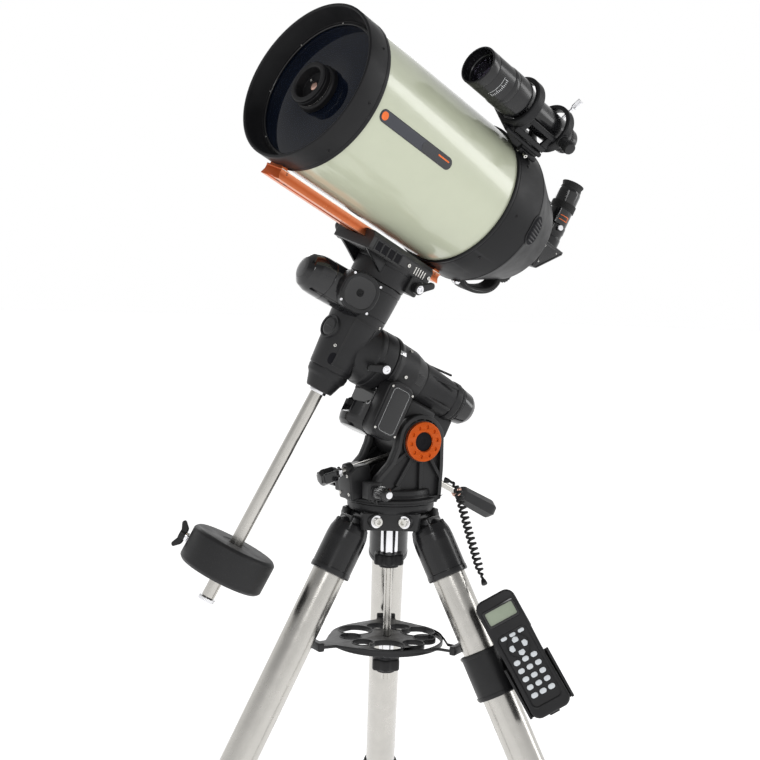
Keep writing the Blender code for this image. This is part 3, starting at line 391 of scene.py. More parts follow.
def finish_of(name, slot, colour, rough, metal=0.0, grain=1400.0, depth=0.00004, bump=0.35,
              spread=0.08, tone=0.2, wear=0.0, worn=(0.10, 0.10, 0.10), coat=0.0, coat_rough=0.05,
              along=None, stretch=(1.0, 1.0, 1.0), specular=0.5, fine=0.0):
    """A surface with its grain, uneven sheen, slight change of tone and worn edges."""
    n = Nodes(name)
    place = n.add("ShaderNodeTexCoord").outputs["Object"]
    if along is not None:
        turn = along.to_3x3().inverted().to_euler()
        turned = n.add("ShaderNodeMapping", {"Vector": place, "Rotation": turn})
        place = turned.outputs["Vector"]
    grained = place
    if stretch != (1.0, 1.0, 1.0):
        grained = n.add("ShaderNodeMapping", {"Vector": place, "Scale": stretch}).outputs["Vector"]
    grains = n.noise(grained, grain, 3.0)
    cloud = n.noise(place, 34.0, 5.0)
    dark = tuple(c * (1 - tone) for c in colour) + (1.0,)
    light = tuple(min(1.0, c * (1 + tone * 0.6)) for c in colour) + (1.0,)
    mottled = n.mix(n.between(cloud, 0.0, 1.0), dark, light)
    if fine:
        flecks = n.between(n.noise(place, grain * 0.6, 2.0), 0.0, fine, 0.56, 0.75)
        mottled = n.mix(flecks, mottled, tuple(min(1.0, c * 2.6 + 0.02) for c in colour) + (1.0,))
    if wear:
        edge = n.add("ShaderNodeNewGeometry").outputs["Pointiness"]
        rubbed = n.between(edge, 0.0, wear, 0.515, 0.60)
        mottled = n.mix(rubbed, mottled, (*worn, 1.0))
    n.set("Base Color", mottled)
    n.set("Metallic", metal)
    n.set("Roughness", n.between(cloud, max(rough - spread, 0.02), rough + spread))
    n.set("Specular IOR Level", specular)
    if coat:
        n.set("Coat Weight", coat)
        n.set("Coat Roughness", coat_rough)
    relief = n.add("ShaderNodeBump", {"Strength": bump, "Distance": depth, "Height": grains})
    n.set("Normal", relief.outputs["Normal"])
    return n.material, slot


CASTING = finish_of("powder_coated_casting", "casting", (0.012, 0.012, 0.013), 0.40, grain=1900.0,
                    depth=0.00009, bump=0.5, wear=0.35, worn=(0.07, 0.07, 0.07), fine=0.25,
                    specular=0.30)
CELL = finish_of("satin_black_casting", "casting", (0.008, 0.008, 0.009), 0.42, grain=2300.0,
                 depth=0.00006, bump=0.4, wear=0.25, worn=(0.045, 0.045, 0.05), specular=0.22)
# Matt black: the tube's own lining and the gear case's seam, and also flat dark patches that paint
# the shade of recesses, openings and bores.
BLACK_LINING_AND_SHADE = finish_of("matt_black_lining_and_painted_shade", "casting", (0.006, 0.006, 0.008), 0.85, grain=1500.0,
                  depth=0.0001, bump=0.5, specular=0.2)
IRON = finish_of("textured_black_iron", "cast_iron", (0.014, 0.014, 0.015), 0.50, grain=950.0,
                 depth=0.00022, bump=0.55, wear=0.4, fine=0.2, specular=0.32)
PLASTIC = finish_of("moulded_black_plastic", "black_plastic", (0.011, 0.011, 0.012), 0.36,
                    grain=2600.0, depth=0.00005, bump=0.4, wear=0.2, worn=(0.07, 0.07, 0.07),
                    specular=0.30)
KNOB = finish_of("ribbed_black_grip", "black_plastic", (0.010, 0.010, 0.011), 0.46, grain=1700.0,
                 depth=0.00008, bump=0.5, specular=0.30)
GLOSS = finish_of("polished_black", "gloss_black", (0.006, 0.006, 0.007), 0.16, grain=300.0,
                  depth=0.00003, bump=0.12, spread=0.04, coat=0.35, coat_rough=0.04, specular=0.4)
PAINT = finish_of("gloss_black_paint", "black_plastic", (0.008, 0.008, 0.009), 0.24, grain=500.0,
                  depth=0.00003, bump=0.15, spread=0.05, coat=0.15, wear=0.25, specular=0.34)
RUBBER = finish_of("black_rubber", "rubber", (0.014, 0.014, 0.014), 0.66, grain=2200.0,
                   depth=0.0001, bump=0.5, tone=0.3, specular=0.35)
CHROME = finish_of("bright_chrome", "chrome", (0.80, 0.80, 0.82), 0.09, 1.0, grain=700.0,
                   depth=0.00001, bump=0.15, spread=0.03, tone=0.04)
ZINC = finish_of("plated_screw", "chrome", (0.66, 0.65, 0.62), 0.22, 1.0, grain=1500.0,
                 depth=0.00003, bump=0.3, spread=0.06, tone=0.1)
ENAMEL = finish_of("cream_enamel", "cream_enamel", (0.500, 0.528, 0.400), 0.20, grain=420.0,
                   depth=0.00003, bump=0.16, spread=0.03, tone=0.018, coat=0.5, coat_rough=0.06)
ORANGE = finish_of("orange_anodised", "orange_anodised", (0.50, 0.075, 0.006), 0.32, 0.85,
                   grain=260.0, depth=0.00003, bump=0.3, spread=0.06, tone=0.06, wear=0.55,
                   worn=(0.86, 0.40, 0.22), along=DEC, stretch=(9.0, 0.4, 9.0))
ORANGE_RING = finish_of("orange_turned", "orange_anodised", (0.48, 0.070, 0.005), 0.28, 0.92,
                        grain=900.0, depth=0.00002, bump=0.25, tone=0.06, wear=0.35,
                        worn=(0.95, 0.5, 0.3))
BADGE = finish_of("badge_black", "gloss_black", (0.012, 0.013, 0.018), 0.16, grain=350.0,
                  depth=0.00001, bump=0.1, spread=0.03, coat=0.4)
BADGE_ORANGE = finish_of("badge_orange", "orange_anodised", (0.85, 0.16, 0.02), 0.28, 0.1,
                         grain=400.0, depth=0.00001, bump=0.1)
BADGE_FIELD = finish_of("badge_grey", "gloss_black", (0.030, 0.033, 0.044), 0.24, 0.2, grain=350.0,
                        depth=0.00001, bump=0.1, spread=0.03, tone=0.05, coat=0.3)
BRASS = finish_of("warm_metal_hub", "chrome", (0.62, 0.40, 0.33), 0.26, 1.0, grain=900.0,
                  depth=0.00003, tone=0.1)
# Pale metal strips that paint the highlight line along the dovetail's edges.
EDGE_HIGHLIGHT = finish_of("painted_edge_highlight", "orange_anodised", (0.92, 0.78, 0.68), 0.28, 0.9, grain=900.0,
                 depth=0.00002, tone=0.05)
PALE = finish_of("pale_print", "keypad", (0.62, 0.63, 0.64), 0.4, grain=900.0, depth=0.00001)
KEYS = finish_of("pale_grey_keys", "keypad", (0.66, 0.69, 0.72), 0.46, grain=1200.0, depth=0.00003,
                 bump=0.3, tone=0.05)
SCREEN = finish_of("display_window", "gloss_black", (0.285, 0.335, 0.245), 0.16, grain=2400.0,
                   depth=0.00001, bump=0.1, tone=0.06, coat=0.8, coat_rough=0.03)
STEEL = {name: finish_of(f"brushed_stainless_{name}", "stainless_steel", (0.53, 0.515, 0.485), 0.25,
                         1.0, grain=120.0, depth=0.00002, bump=0.22, spread=0.05, tone=0.07,
                         along=at, stretch=(8.0, 8.0, 0.12))
         for name, at in (*LEGS.items(), ("bar", DEC_HEAD), ("head", TRIPOD))}
MIRROR = finish_of("front_aluminised", "mirror", (0.90, 0.91, 0.92), 0.04, 1.0, grain=60.0,
                   depth=0.000001, bump=0.05, spread=0.01, tone=0.02)


def glass(name, tint, reflect):
    """Coated glass: clear, with a tinted sheen and a trace of dust."""
    n = Nodes(name)
    place = n.add("ShaderNodeTexCoord").outputs["Object"]
    dust = n.noise(place, 260.0, 6.0)
    n.set("Base Color", (*tint, 1.0))
    n.set("Roughness", n.between(dust, 0.015, 0.065, 0.45, 0.8))
    n.set("IOR", 1.5)
    n.set("Transmission Weight", 1.0)
    n.set("Specular Tint", (*reflect, 1.0))
    n.set("Specular IOR Level", 0.10)
    relief = n.add("ShaderNodeBump", {"Strength": 0.05, "Distance": 0.00001, "Height": dust})
    n.set("Normal", relief.outputs["Normal"])
    return n.material, "coated_glass"


# The corrector is a near-opaque dark blue sheet: the coating's blue tint, with the dark inside of
# the tube painted into it as shade.
CORRECTOR_TINT_AND_SHADE = finish_of("corrector_tint_and_painted_shade", "coated_glass", (0.0035, 0.0060, 0.0135), 0.06,
                      grain=60.0, depth=0.000001, bump=0.05, spread=0.02, tone=0.2, coat=0.25,
                      coat_rough=0.02, specular=0.3)
CORRECTOR_TINT_AND_SHADE[0].node_tree.nodes["Principled BSDF"].inputs["Alpha"].default_value = 0.85
OBJECTIVE = glass("objective_coating", (0.80, 0.90, 0.86), (0.75, 0.55, 1.0))

# ---------------------------------------------------------------- tripod


def screws(name, body, look, *heads):
    return piece(name, body, look, *[cap_screw(*head) for head in heads])


HINGE_FACE = 45  # where the hinge bolts' heads sit, from each leg's middle plane


def arm_outline(azimuth, half):
    """An arm's outline at an azimuth, from the points on one side of it."""
    both = half + [(x, -y) for x, y in reversed(half)]
    return [tuple(spin("Z", azimuth) @ Vector((x, y, 0)))[:2] for x, y in both]


def hub():
    points = []
    for azimuth in sorted(LEG_AZIMUTHS.values()):
        points += arm_outline(azimuth, [(66, -34), (66, -22), (30, -22)])
    body = prism(TRIPOD, round_corners(points, 4), -30, -4, 1.8)
    flange = lathe(TRIPOD, [(9, 7.5), (65.5, 7.5), (66.2, 6.5), (66.2, 0), (64, -5), (9, -5)], 128,
                   1)
    shapes = [body, flange]
    for azimuth in LEG_AZIMUTHS.values():
        at = TRIPOD @ spin("Z", azimuth) @ shift(50, 0, -LEG_PIVOT_DROP)
        for side in (-1, 1):
            shapes.append(ring(at @ facing(side), 11.2, 4.2, HINGE_FACE, 22, 1, 48))
            rib = TRIPOD @ spin("Z", azimuth) @ shift(44, side * 28.2, -17)
            shapes.append(brick(rib, (36, 5.2, 28.5), 1.8, 1.2))
    piece("tripod_hub_body", "tripod_head", CASTING, *shapes, hides=["tripod_hub"])
    bolts, washers = [], []
    for azimuth in LEG_AZIMUTHS.values():
        at = TRIPOD @ spin("Z", azimuth) @ shift(50, 0, -LEG_PIVOT_DROP)
        for side in (-1, 1):
            out = at @ facing(side) @ shift(z=HINGE_FACE)
            washers.append(ring(out, 9.6, 4, 1.4, 0, 0.4, 48))
            bolts.append(cap_screw(out @ shift(z=1.4), 6.6, 5.8))
        bolts.append(rod(at @ ALONG_Y, 4, 34, -34))
    bolts.append(rod(TRIPOD @ shift(x=-58), 5, 20, 7))
    piece("hinge_bolts", "tripod_head", ZINC, *bolts)
    piece("hinge_washers", "tripod_head", CHROME, *washers)
    piece("centre_rod_steel", "tripod_head", STEEL["head"],
          lathe(TRIPOD, [(0, 6.5), (8.5, 6.5), (8.5, -30), (6, -31), (6, -272), (0, -272)], 40),
          hides=["centre_rod"])


def leg(name):
    at = LEGS[name] @ shift(x=LEG_AXIS_OUT)
    body, lower = f"leg_{name}", f"lower_leg_{name}"
    collar = lathe(at, [(0, -10), (18, -10), (26.2, -18), (29.6, -30), (30.5, -42), (30.5, -88),
                        (31.2, -89), (31.2, -95.5), (30.2, -97), (25.7, -97), (25.7, -52),
                        (0, -52)], 96, 1.6)
    cheeks = brick(LEGS[name] @ shift(8.5, 0, -21), (33, 42.5, 30), 6, 3)
    eye = rod(LEGS[name] @ ALONG_Y, 9, 21.4, -21.4, 1)
    ribs = [brick(at @ spin("Z", a) @ shift(23.5, 0, -29), (10.5, 4, 28), 1.5, 1)
            for a in (-55, 0, 55)]
    piece(f"leg_socket_{name}_casting", body, PAINT, collar, cheeks, eye, *ribs,
          hides=[f"leg_socket_{name}"])
    end = -600
    piece(f"leg_tube_{name}_steel", body, STEEL[name],
          ring(at, 25.4, 23.8, -52.5, end + 20, 0.5, 96), hides=[f"leg_tube_{name}"])
    at_end = at @ shift(z=end)
    lock = lathe(at_end, [(26.8, 22), (30, 18), (31, 12), (31, -30), (29.6, -34), (22.6, -34),
                          (22.6, 4), (25, 8)], 96, 1.2)
    bands = [ring(at_end, 31.8, 30, z + 3, z - 3, 0.8, 96) for z in (8, -26)]
    boss = brick(at_end @ shift(34.5, 0, -9), (15, 22, 28), 3, 2)
    piece(f"leg_lock_{name}_casting", body, CASTING, lock, boss, *bands)
    screw = at_end @ shift(z=-9) @ ALONG_X
    piece(f"leg_lock_{name}_knob", f"leg_lock_{name}", KNOB, rod(screw, 4, 46, 22.8),
          prism(screw, lobed(15, 3.5, 5), 44, 58, 2.5),
          lathe(screw, [(0, 59.2), (8, 59), (9, 57.5), (0, 57)], 40),
          hides=[f"leg_lock_knob_{name}"])
    floor = -(HEAD_HEIGHT - LEG_PIVOT_DROP) / math.cos(math.radians(LEG_LEAN))
    piece(f"leg_extension_{name}_steel", lower, STEEL[name],
          ring(at, 22.2, 20.6, -170, floor + 70, 0.5, 96), hides=[f"leg_extension_{name}"])
    at_floor = at @ shift(z=floor)
    foot = lathe(at_floor, [(21.8, 78), (25, 78), (26.2, 73), (26.2, 30), (23.5, 22), (21, 12.5),
                            (0, 12.5), (0, 40)], 96, 1.6)
    grooves = [ring(at_floor, 26.8, 25.5, z + 2.2, z - 2.2, 0.9, 96) for z in (40, 50, 60)]
    drop = LEG_AXIS_OUT * math.tan(math.radians(LEG_LEAN))
    ground = at_floor @ shift(z=-drop) @ spin("Y", LEG_LEAN)
    sole = lathe(ground, [(0, 15), (17.5, 15), (18.8, 8), (19.5, 0), (0, 0)], 64, 1.2)
    piece(f"foot_{name}_rubber", lower, RUBBER, foot, sole, *grooves)


# Radius from the axis, degrees, hole radius: two sizes of eyepiece barrel
TRAY_HOLES = ((56, 240, 25.5), (56, 120, 25.5), (56, 0, 25.5), (56, 285, 16), (58, 325, 16),
              (56, 75, 16), (56, 38, 16), (56, 160, 16), (56, 200, 16))


def tray():
    points = []
    for azimuth in sorted(LEG_AZIMUTHS.values()):
        points += arm_outline(azimuth, [(80, -40), (98, -16), (124, -14)])
        points += arc(0, 0, 87.2, azimuth + 34, azimuth + 86, 14)
    holes, rims = [circle(0, 0, 6.4, 24)], []
    at = TRIPOD @ shift(z=-206.5)
    for radius, degrees, hole in TRAY_HOLES:
        spot = spin("Z", degrees) @ Vector((radius, 0, 0))
        holes.append(circle(spot.x, spot.y, hole, 64))
        rims.append(ring(at @ shift(spot.x, spot.y), hole + 1.7, hole - 0.1, 3, -5.2, 0.8))
    plate = prism(at, points, -2.25, 2.25, 0.9, holes)
    skirt = ring(at, 86.6, 83.8, 0, -8, 1, 128)
    pads = [brick(at @ spin("Z", a) @ shift(120, 0, 0), (10, 30, 13), 3, 2)
            for a in LEG_AZIMUTHS.values()]
    piece("tray_casting", "tray", CASTING, plate, skirt, *rims, *pads, hides=["spreader_tray"])
    knob = prism(TRIPOD, lobed(23, 3.5, 6), -256.5, -238.5, 3, [circle(0, 0, 6.4, 24)])
    hub_cap = ring(TRIPOD, 14, 6.4, -256.5, -260, 1.2)
    piece("tray_nut_knob", "tray_nut", KNOB, knob, hub_cap, hides=["tray_knob"])
    piece("tray_nut_sleeve", "tray_nut", CHROME, ring(TRIPOD, 11, 6.4, -214.5, -240, 1))


def mount_bolt():
    knob = prism(TRIPOD, lobed(25, 4, 6), -92, -75, 3, [circle(0, 0, 9.2, 32)])
    dish = ring(TRIPOD, 15, 9.2, -91, -96.5, 1.5)
    piece("mount_bolt_grip", "mount_bolt", KNOB, knob, dish, hides=["mount_bolt_knob"])
    sleeve = ring(TRIPOD, 13, 9.2, -31.5, -76, 1.2)
    collar = ring(TRIPOD, 15.2, 9.2, -34, -38.5, 0.8)
    piece("mount_bolt_sleeve", "mount_bolt", CHROME, sleeve, collar)


hub()
mount_bolt()
tray()
for leg_name in LEGS:
    leg(leg_name)

# ---------------------------------------------------------------- optical tube


def across(y):
    """Places an outline drawn in the DEC frame's XZ plane at y."""
    return DEC @ shift(y=y) @ UPRIGHT


def constant(radius):
    return lambda z: radius


def around(m, radius, z, angles):
    """A frame on a turned body at each angle, Z pointing out."""
    return [m @ spin("Z", a) @ shift(radius, 0, z) @ ALONG_X for a in angles]


def radius_from(knots, z):
    """The radius at a height, between knots of (height, radius) that run downward."""
    for (z0, r0), (z1, r1) in zip(knots, knots[1:]):
        if z >= z1:
            return r0 + (r1 - r0) * (z0 - z) / (z0 - z1)
    return knots[-1][1]


def tube_pieces():
    back, front = REAR_FRONT - 10, TUBE_FRONT - 36.5
    piece("tube_enamel", "optical_tube", ENAMEL,
          ring(OTA, TUBE_R, TUBE_R - 0.6, front, back, 0, 224), hides=["tube_shell"])
    piece("tube_lining", "optical_tube", BLACK_LINING_AND_SHADE,
          ring(OTA, TUBE_R - 0.7, TUBE_R - 1.4, front, back, 0, 160))
    shell = constant(TUBE_R)
    piece("badge_plate", "optical_tube", BADGE,
          wrapped(OTA, shell, 0, 78, 231, 9, 0.5, 8.9, rows=40))
    piece("badge_field", "optical_tube", BADGE_FIELD,
          wrapped(OTA, constant(TUBE_R + 0.3), 0, 127, 229.6, 7.7, 0.5, 7.6, rows=40))
    piece("badge_end", "optical_tube", BADGE,
          wrapped(OTA, constant(TUBE_R + 0.4), 0, 79.2, 142, 7.7, 0.6, 7.6, rows=40))
    piece("badge_dot", "optical_tube", BADGE_ORANGE,
          wrapped(OTA, constant(TUBE_R + 0.4), 0, 216.5, 228.2, 5.8, 0.8, 5.7, rows=24),
          wrapped(OTA, constant(TUBE_R + 0.6), 1.2, 85, 109, 1.1, 0.7, 1))


def front_pieces():
    front, back = TUBE_FRONT, TUBE_FRONT - 42.3
    seat = front - 30
    cell = lathe(OTA, [
        (RING_R - 3, front), (RING_R, front - 1), (RING_R, back + 8), (RING_R - 0.4, back + 7.8),
        (RING_R - 0.4, back + 6.8), (RING_R, back + 6.6), (RING_R, back + 1), (RING_R - 1, back),
        (TUBE_R + 0.2, back), (TUBE_R + 0.2, front - 36), (97.5, front - 36), (97.5, seat - 4.5),
        (102.5, seat - 4.5), (102.5, seat), (103.6, seat), (103.8, seat + 1.6), (105, seat + 1.8),
        (111.8, front - 1.4)], 224, 0.8)
    piece("front_cell_casting", "optical_tube", CELL, cell, hides=["front_cell"])
    at_seat = OTA @ shift(z=seat)
    retainer = lathe(at_seat, [(103.4, 3), (103.6, 0.2), (99.2, 0.2), (99, 2.2), (99.8, 3.1)], 200,
                     0.4)
    piece("corrector_retainer", "optical_tube", PAINT, retainer)
    screws("front_cell_screws", "optical_tube", CELL,
           *[(at, 2.1, 1.1) for at in around(OTA, RING_R - 0.4, back + 15.5,
                                             [0, -41, -82, -139, 180, 139, 98, 41])])
    pins = [at_seat @ spin("Z", 45 * k + 12) @ shift(101.2, 0, 2.8) for k in range(8)]
    screws("retainer_screws", "optical_tube", ZINC, *[(at, 1.1, 0.7) for at in pins])
    ticks = [brick(OTA @ spin("Z", a) @ shift(108.6, 0, front - 14.8) @ spin("Y", 14.6),
                   (0.4, 0.7, 4.2 if k % 5 else 7), 0.1, 0.1)
             for k, a in enumerate(range(-60, -20, 2))]
    piece("ring_scale", "optical_tube", PALE, *ticks)
    piece("corrector_glass", "optical_tube", CORRECTOR_TINT_AND_SHADE,
          lathe(at_seat, [(102, -0.3), (102, -4.2), (25, -4.4), (25, -0.1)], 160, 0.2),
          hides=["corrector_lens"])
    holder = lathe(at_seat, [
        (0, 10), (7, 10), (11, 8.5), (21.5, 9.5), (22.8, 22.5), (24, 24), (29, 24), (30.8, 22.8),
        (31, 20.5), (30.3, 20), (30.3, 19.2), (31, 18.7), (31, 11.8), (30.4, 11.2), (30.4, 10.4),
        (32.6, 9.8), (34.3, 7.5), (34.5, 0.2), (24.7, 0), (24.7, -4.5), (33, -4.7), (33, -20),
        (0, -20)], 128, 0.5)
    piece("secondary_holder", "optical_tube", CELL, holder, hides=["secondary_cell"])
    piece("secondary_line", "optical_tube", ZINC, ring(at_seat, 30.75, 30, 11.4, 11, 0.1, 128))
    piece("secondary_hub", "optical_tube", BRASS,
          lathe(at_seat, [(0, 12.8), (3.5, 12.6), (6.2, 11.8), (6.6, 9.8), (0, 9.8)], 48, 0.5))
    screws("collimation_screws", "optical_tube", ZINC,
           *[(at_seat @ spin("Z", 120 * k + 30) @ shift(14.5, 0, 9), 2.1, 2.4) for k in range(3)])
    piece("secondary_mirror", "optical_tube", MIRROR, rod(at_seat, 30, -19.8, -21.2, 0.3, 96))


def rear_radius(z):
    """The rear cell's outside radius."""
    front = REAR_FRONT
    return radius_from([(front, RING_R), (front - 67, RING_R), (front - 73, 114),
                        (front - 102, 100), (REAR_PLATE + 1, 80), (REAR_PLATE, 79)], z)


def rear_pieces():
    front, rear = REAR_FRONT, REAR_PLATE
    at_rear = OTA @ shift(z=rear)
    cell = lathe(OTA, [
        (RING_R - 1.2, front), (RING_R, front - 1.2), (RING_R, front - 4.6),
        (RING_R - 0.5, front - 5), (RING_R - 0.5, front - 6), (RING_R, front - 6.4),
        (RING_R, front - 66), (115.5, front - 70), (113, front - 75.2), (100, front - 102),
        (90.5, front - 122), (80.8, rear + 3), (79, rear), (25.5, rear), (25.5, rear + 8),
        (74, rear + 8), (95, front - 98), (108.5, front - 65), (108.5, front - 11),
        (TUBE_R + 0.2, front - 11), (TUBE_R + 0.2, front)], 224, 1.6)
    line = ring(OTA, RING_R + 0.3, RING_R - 2, front - 66, front - 66.7, 0.2, 224)
    step = lathe(at_rear, [(56, 1), (56, -2.2), (54.5, -3), (32, -3), (32, 1)], 128, 1)
    bosses = [rod(at_rear @ shift(x, y), r, 1, -3.6, 1)
              for x, y, r in ((5, -60, 15), (23, 64, 10), (-23, 64, 10))]
    piece("rear_cell_casting", "optical_tube", CELL, cell, step, line, *bosses, hides=["rear_cell"])
    for number, angle in enumerate((0, 180.0)):
        low, high = front - 96, front - 60
        piece(f"vent_rim_{number + 1}", "optical_tube", CELL,
              wrapped(OTA, rear_radius, angle, low, high, 25, 1.1, 16.5, rows=36, cols=24))
        # A dark plate standing proud of the cell paints the shade of the vent's recess; the cell is
        # not cut.
        piece(f"vent_shade_plate_{number + 1}", "optical_tube", BLACK_LINING_AND_SHADE,
              wrapped(OTA, lambda z: rear_radius(z) + 0.6, angle, low + 2.2, high - 2.2, 22.6, 0.8,
                      15, rows=36, cols=24))
        slats = []
        for k in range(-3, 4):
            reach = 13.5 * math.sqrt(1 - (k / 4.3) ** 2)
            spots = [(low + high) / 2 + reach * t for t in (-1, -0.5, 0, 0.5, 1)]
            turn = spin("Z", angle + math.degrees(k * 5.4 / 112))
            slats.append(tube(OTA @ turn, [(rear_radius(z) + 1, 0, z) for z in spots], 1.1, 10))
        piece(f"vent_slats_{number + 1}", "optical_tube", CELL, *slats)
    screws("rear_cell_screws", "optical_tube", CELL,
           *[(at, 2.4, 1.2) for at in around(OTA, RING_R - 0.4, front - 25,
                                             [-41, 41, -139, 139, 0, 180])])
    screws("rear_plate_screws", "optical_tube", ZINC,
           *[(at_rear @ spin("Z", 60 * k + 30) @ shift(x=70) @ TURNED_OVER, 2.1, 1.4)
             for k in range(6)])
    piece("visual_back_casting", "optical_tube", PAINT, lathe(at_rear, [
        (24, -0.4), (30, -1), (30, -6), (29, -6.6), (29, -14), (30, -14.6), (30, -20), (22.5, -26),
        (22.5, -40), (24, -40.6), (24, -49), (23.2, -50), (16.2, -50), (16.2, -20), (22.6, -15),
        (22.6, -0.4)], 96, 0.6), hides=["visual_back"])
    piece("visual_back_grip", "optical_tube", KNOB,
          prism(at_rear @ shift(z=-14), lobed(30.6, 0.8, 48, 6), 0, 7, 0.6,
                [circle(0, 0, 28.6, 64)]))
    screws("visual_back_screws", "optical_tube", ZINC,
           *[(at, 2.4, 9) for at in around(at_rear, 23.6, -44.8, [60, 180, 300])])


def rear_knob(name, body, spot, radius, long, node):
    at = OTA @ shift(*spot, REAR_PLATE)
    grip = prism(at, lobed(radius, 1.3, 18 if radius > 12 else 14, 8), -4.5 - long, -4.5, 1.6)
    cap = lathe(at, [(0, -5.2 - long), (radius * 0.72, -5 - long), (radius * 0.78, -4 - long),
                     (0, -4 - long)], 48, 0.6)
    piece(name, body, RUBBER, grip, cap, hides=[node])
    piece(name + "_stem", body, CHROME, rod(at, 4.5, -0.4, -6, 0.4))


HANDLE_X = 18
HANDLE_PATH = ((-103, -119), (-112, -132), (-113, -150), (-108, -170), (-98, -188), (-84, -197),
               (-68, -196))


def handle():
    """A broad moulded strap from the rear cell's shoulder to its back plate."""
    path = smooth(HANDLE_PATH, 8)
    last = len(path) - 1
    swells = [1.8 * math.sin(math.pi * i / last) for i in range(last + 1)]
    sections = []
    for i, (spot, swell) in enumerate(zip(path, swells)):
        along = (path[min(i + 1, last)] - path[max(i - 1, 0)]).normalized()
        out = Vector((along.y, -along.x))
        sections.append([OTA @ Vector((HANDLE_X + u, *(spot + out * v)))
                         for u, v in rounded_box(2 * (13.2 + swell), 10, 4, 5)])
    feet = [brick(OTA @ shift(HANDLE_X, -106.6, -123.5) @ spin("X", 35), (28, 13, 15), 4, 2),
            brick(OTA @ shift(HANDLE_X, -70, -198.5), (28, 16, 10), 4, 2)]
    piece("carry_handle_strap", "optical_tube", RUBBER, skinned(sections), *feet,
          hides=["carry_handle"])
    middle = list(zip(path, swells))[5:last - 4]
    piece("carry_handle_line", "optical_tube", GLOSS,
          *[tube(OTA, [(HANDLE_X + side * (13.4 + swell), *spot) for spot, swell in middle], 0.6, 8)
            for side in (-1, 1)])
    front = OTA @ shift(HANDLE_X + 4, -115, -125) @ spin("X", 118)
    screws("handle_screws", "optical_tube", CHROME, (front, 4.8, 3),
           (OTA @ shift(HANDLE_X, -66.5, -203) @ TURNED_OVER, 4, 2.6))
    piece("handle_washer", "optical_tube", CHROME, ring(front, 6.8, 4, 1, -2))


def diagonal_pieces():
    side = [(-27, 21.5), (27, 21.5), (27, 19), (-19, -27), (-27, -27)]
    local = DIAGONAL @ axes((0, 0, -1), (0, 1, 0), (1, 0, 0))
    body = prism(local, round_corners(side, 1.2), -19, 19, 1)
    plate = DIAGONAL @ shift(0, -4, -4) @ spin("X", 135)
    lid = prism(plate, rounded_box(40.4, 64, 3), -1.6, 0.8, 0.6)
    collar = lathe(DIAGONAL @ ALONG_Y, [(16.2, 12), (18.8, 20), (19.5, 22.5), (19.5, 34),
                                        (18.6, 35), (18.6, 43), (19.7, 44), (19.7, 55), (18.8, 56),
                                        (16.2, 56)], 96, 0.6)
    sides = [prism(local @ shift(z=s * 19),
                   round_corners([(-22.5, 17), (19, 17), (-22.5, -21.5)], 2), -0.6, 0.6, 0.5)
             for s in (-1, 1)]
    piece("diagonal_casting", "diagonal", PAINT, body, collar, *sides, lid, hides=["star_diagonal"])
    piece("diagonal_nose_tube", "diagonal", CHROME,
          lathe(DIAGONAL, [(15.8, 56), (15.8, 25.5), (18.5, 24.5), (18.5, 21.5), (13.5, 21.5),
                           (13.5, 56)], 96, 0.6))
    lid_screws = [(plate @ shift(x, y, 0.6), 1.6, 1.2) for x in (-15.5, 15.5) for y in (-27, 27)]
    side_screws = [(local @ spin("X", 90 - 90 * s) @ shift(spot[0], s * spot[1], 19.2), 1.4, 0.8)
                   for s in (-1, 1) for spot in ((-19, 13), (-19, -15), (12, 13))]
    screws("diagonal_screws", "diagonal", ZINC, *lid_screws, *side_screws)
    thumb = DIAGONAL @ ALONG_Y @ shift(z=49.5) @ spin("Z", -25) @ ALONG_X
    piece("diagonal_thumbscrew", "diagonal", CHROME, rod(thumb, 2, 24.5, 17, 0.3),
          prism(thumb, lobed(4.6, 0.4, 24, 6), 22.5, 30, 0.5))


def eyepiece_pieces():
    at = DIAGONAL @ ALONG_Y
    piece("eyepiece_barrel", "eyepiece", CHROME,
          lathe(at, [(15.8, 56), (15.8, 44), (15.4, 43.4), (15.4, 40), (15.8, 39.4), (15.8, 30),
                     (13, 30), (13, 56)], 96, 0.3))
    piece("eyepiece_body", "eyepiece", GLOSS,
          lathe(at, [(13, 56.3), (18.5, 56.3), (18.9, 58), (19, 82), (19, 96), (18.9, 114),
                     (17.6, 118), (13, 118), (12, 100)], 96, 0.8), hides=["eyepiece"])
    grooves = [ring(at, 20.6, 18.5, z + 1.1, z - 1.1, 0.5, 96)
               for z in [83.6 + 2.4 * k for k in range(5)]]
    cup = lathe(at, [(13, 117.6), (17.6, 117.6), (17.2, 121.5), (16.4, 123.5), (18.2, 128.2),
                     (18.4, 129.6), (17.2, 130), (15, 126.2), (12.5, 120)], 96, 0.7)
    piece("eyepiece_rubber", "eyepiece", RUBBER, cup, *grooves)
    piece("eyepiece_marks", "eyepiece", BADGE_ORANGE,
          *[wrapped(at, constant(19), -16.0, z, z + 1.1, 8.5, 0.3, 0.3, rows=6)
            for z in (64, 71.2)], wrapped(at, constant(19), 6.0, 64, 72.4, 0.5, 0.3, 0.3, rows=6))
    piece("eyepiece_lens", "eyepiece", OBJECTIVE,
          lathe(at, [(0, 119.6), (7, 119), (12.6, 117.4), (12.6, 116), (0, 116)], 64, 0))


PLUNGER_TURN, SCREW_TURN = 10.0, 95.0  # degrees about the finder's axis


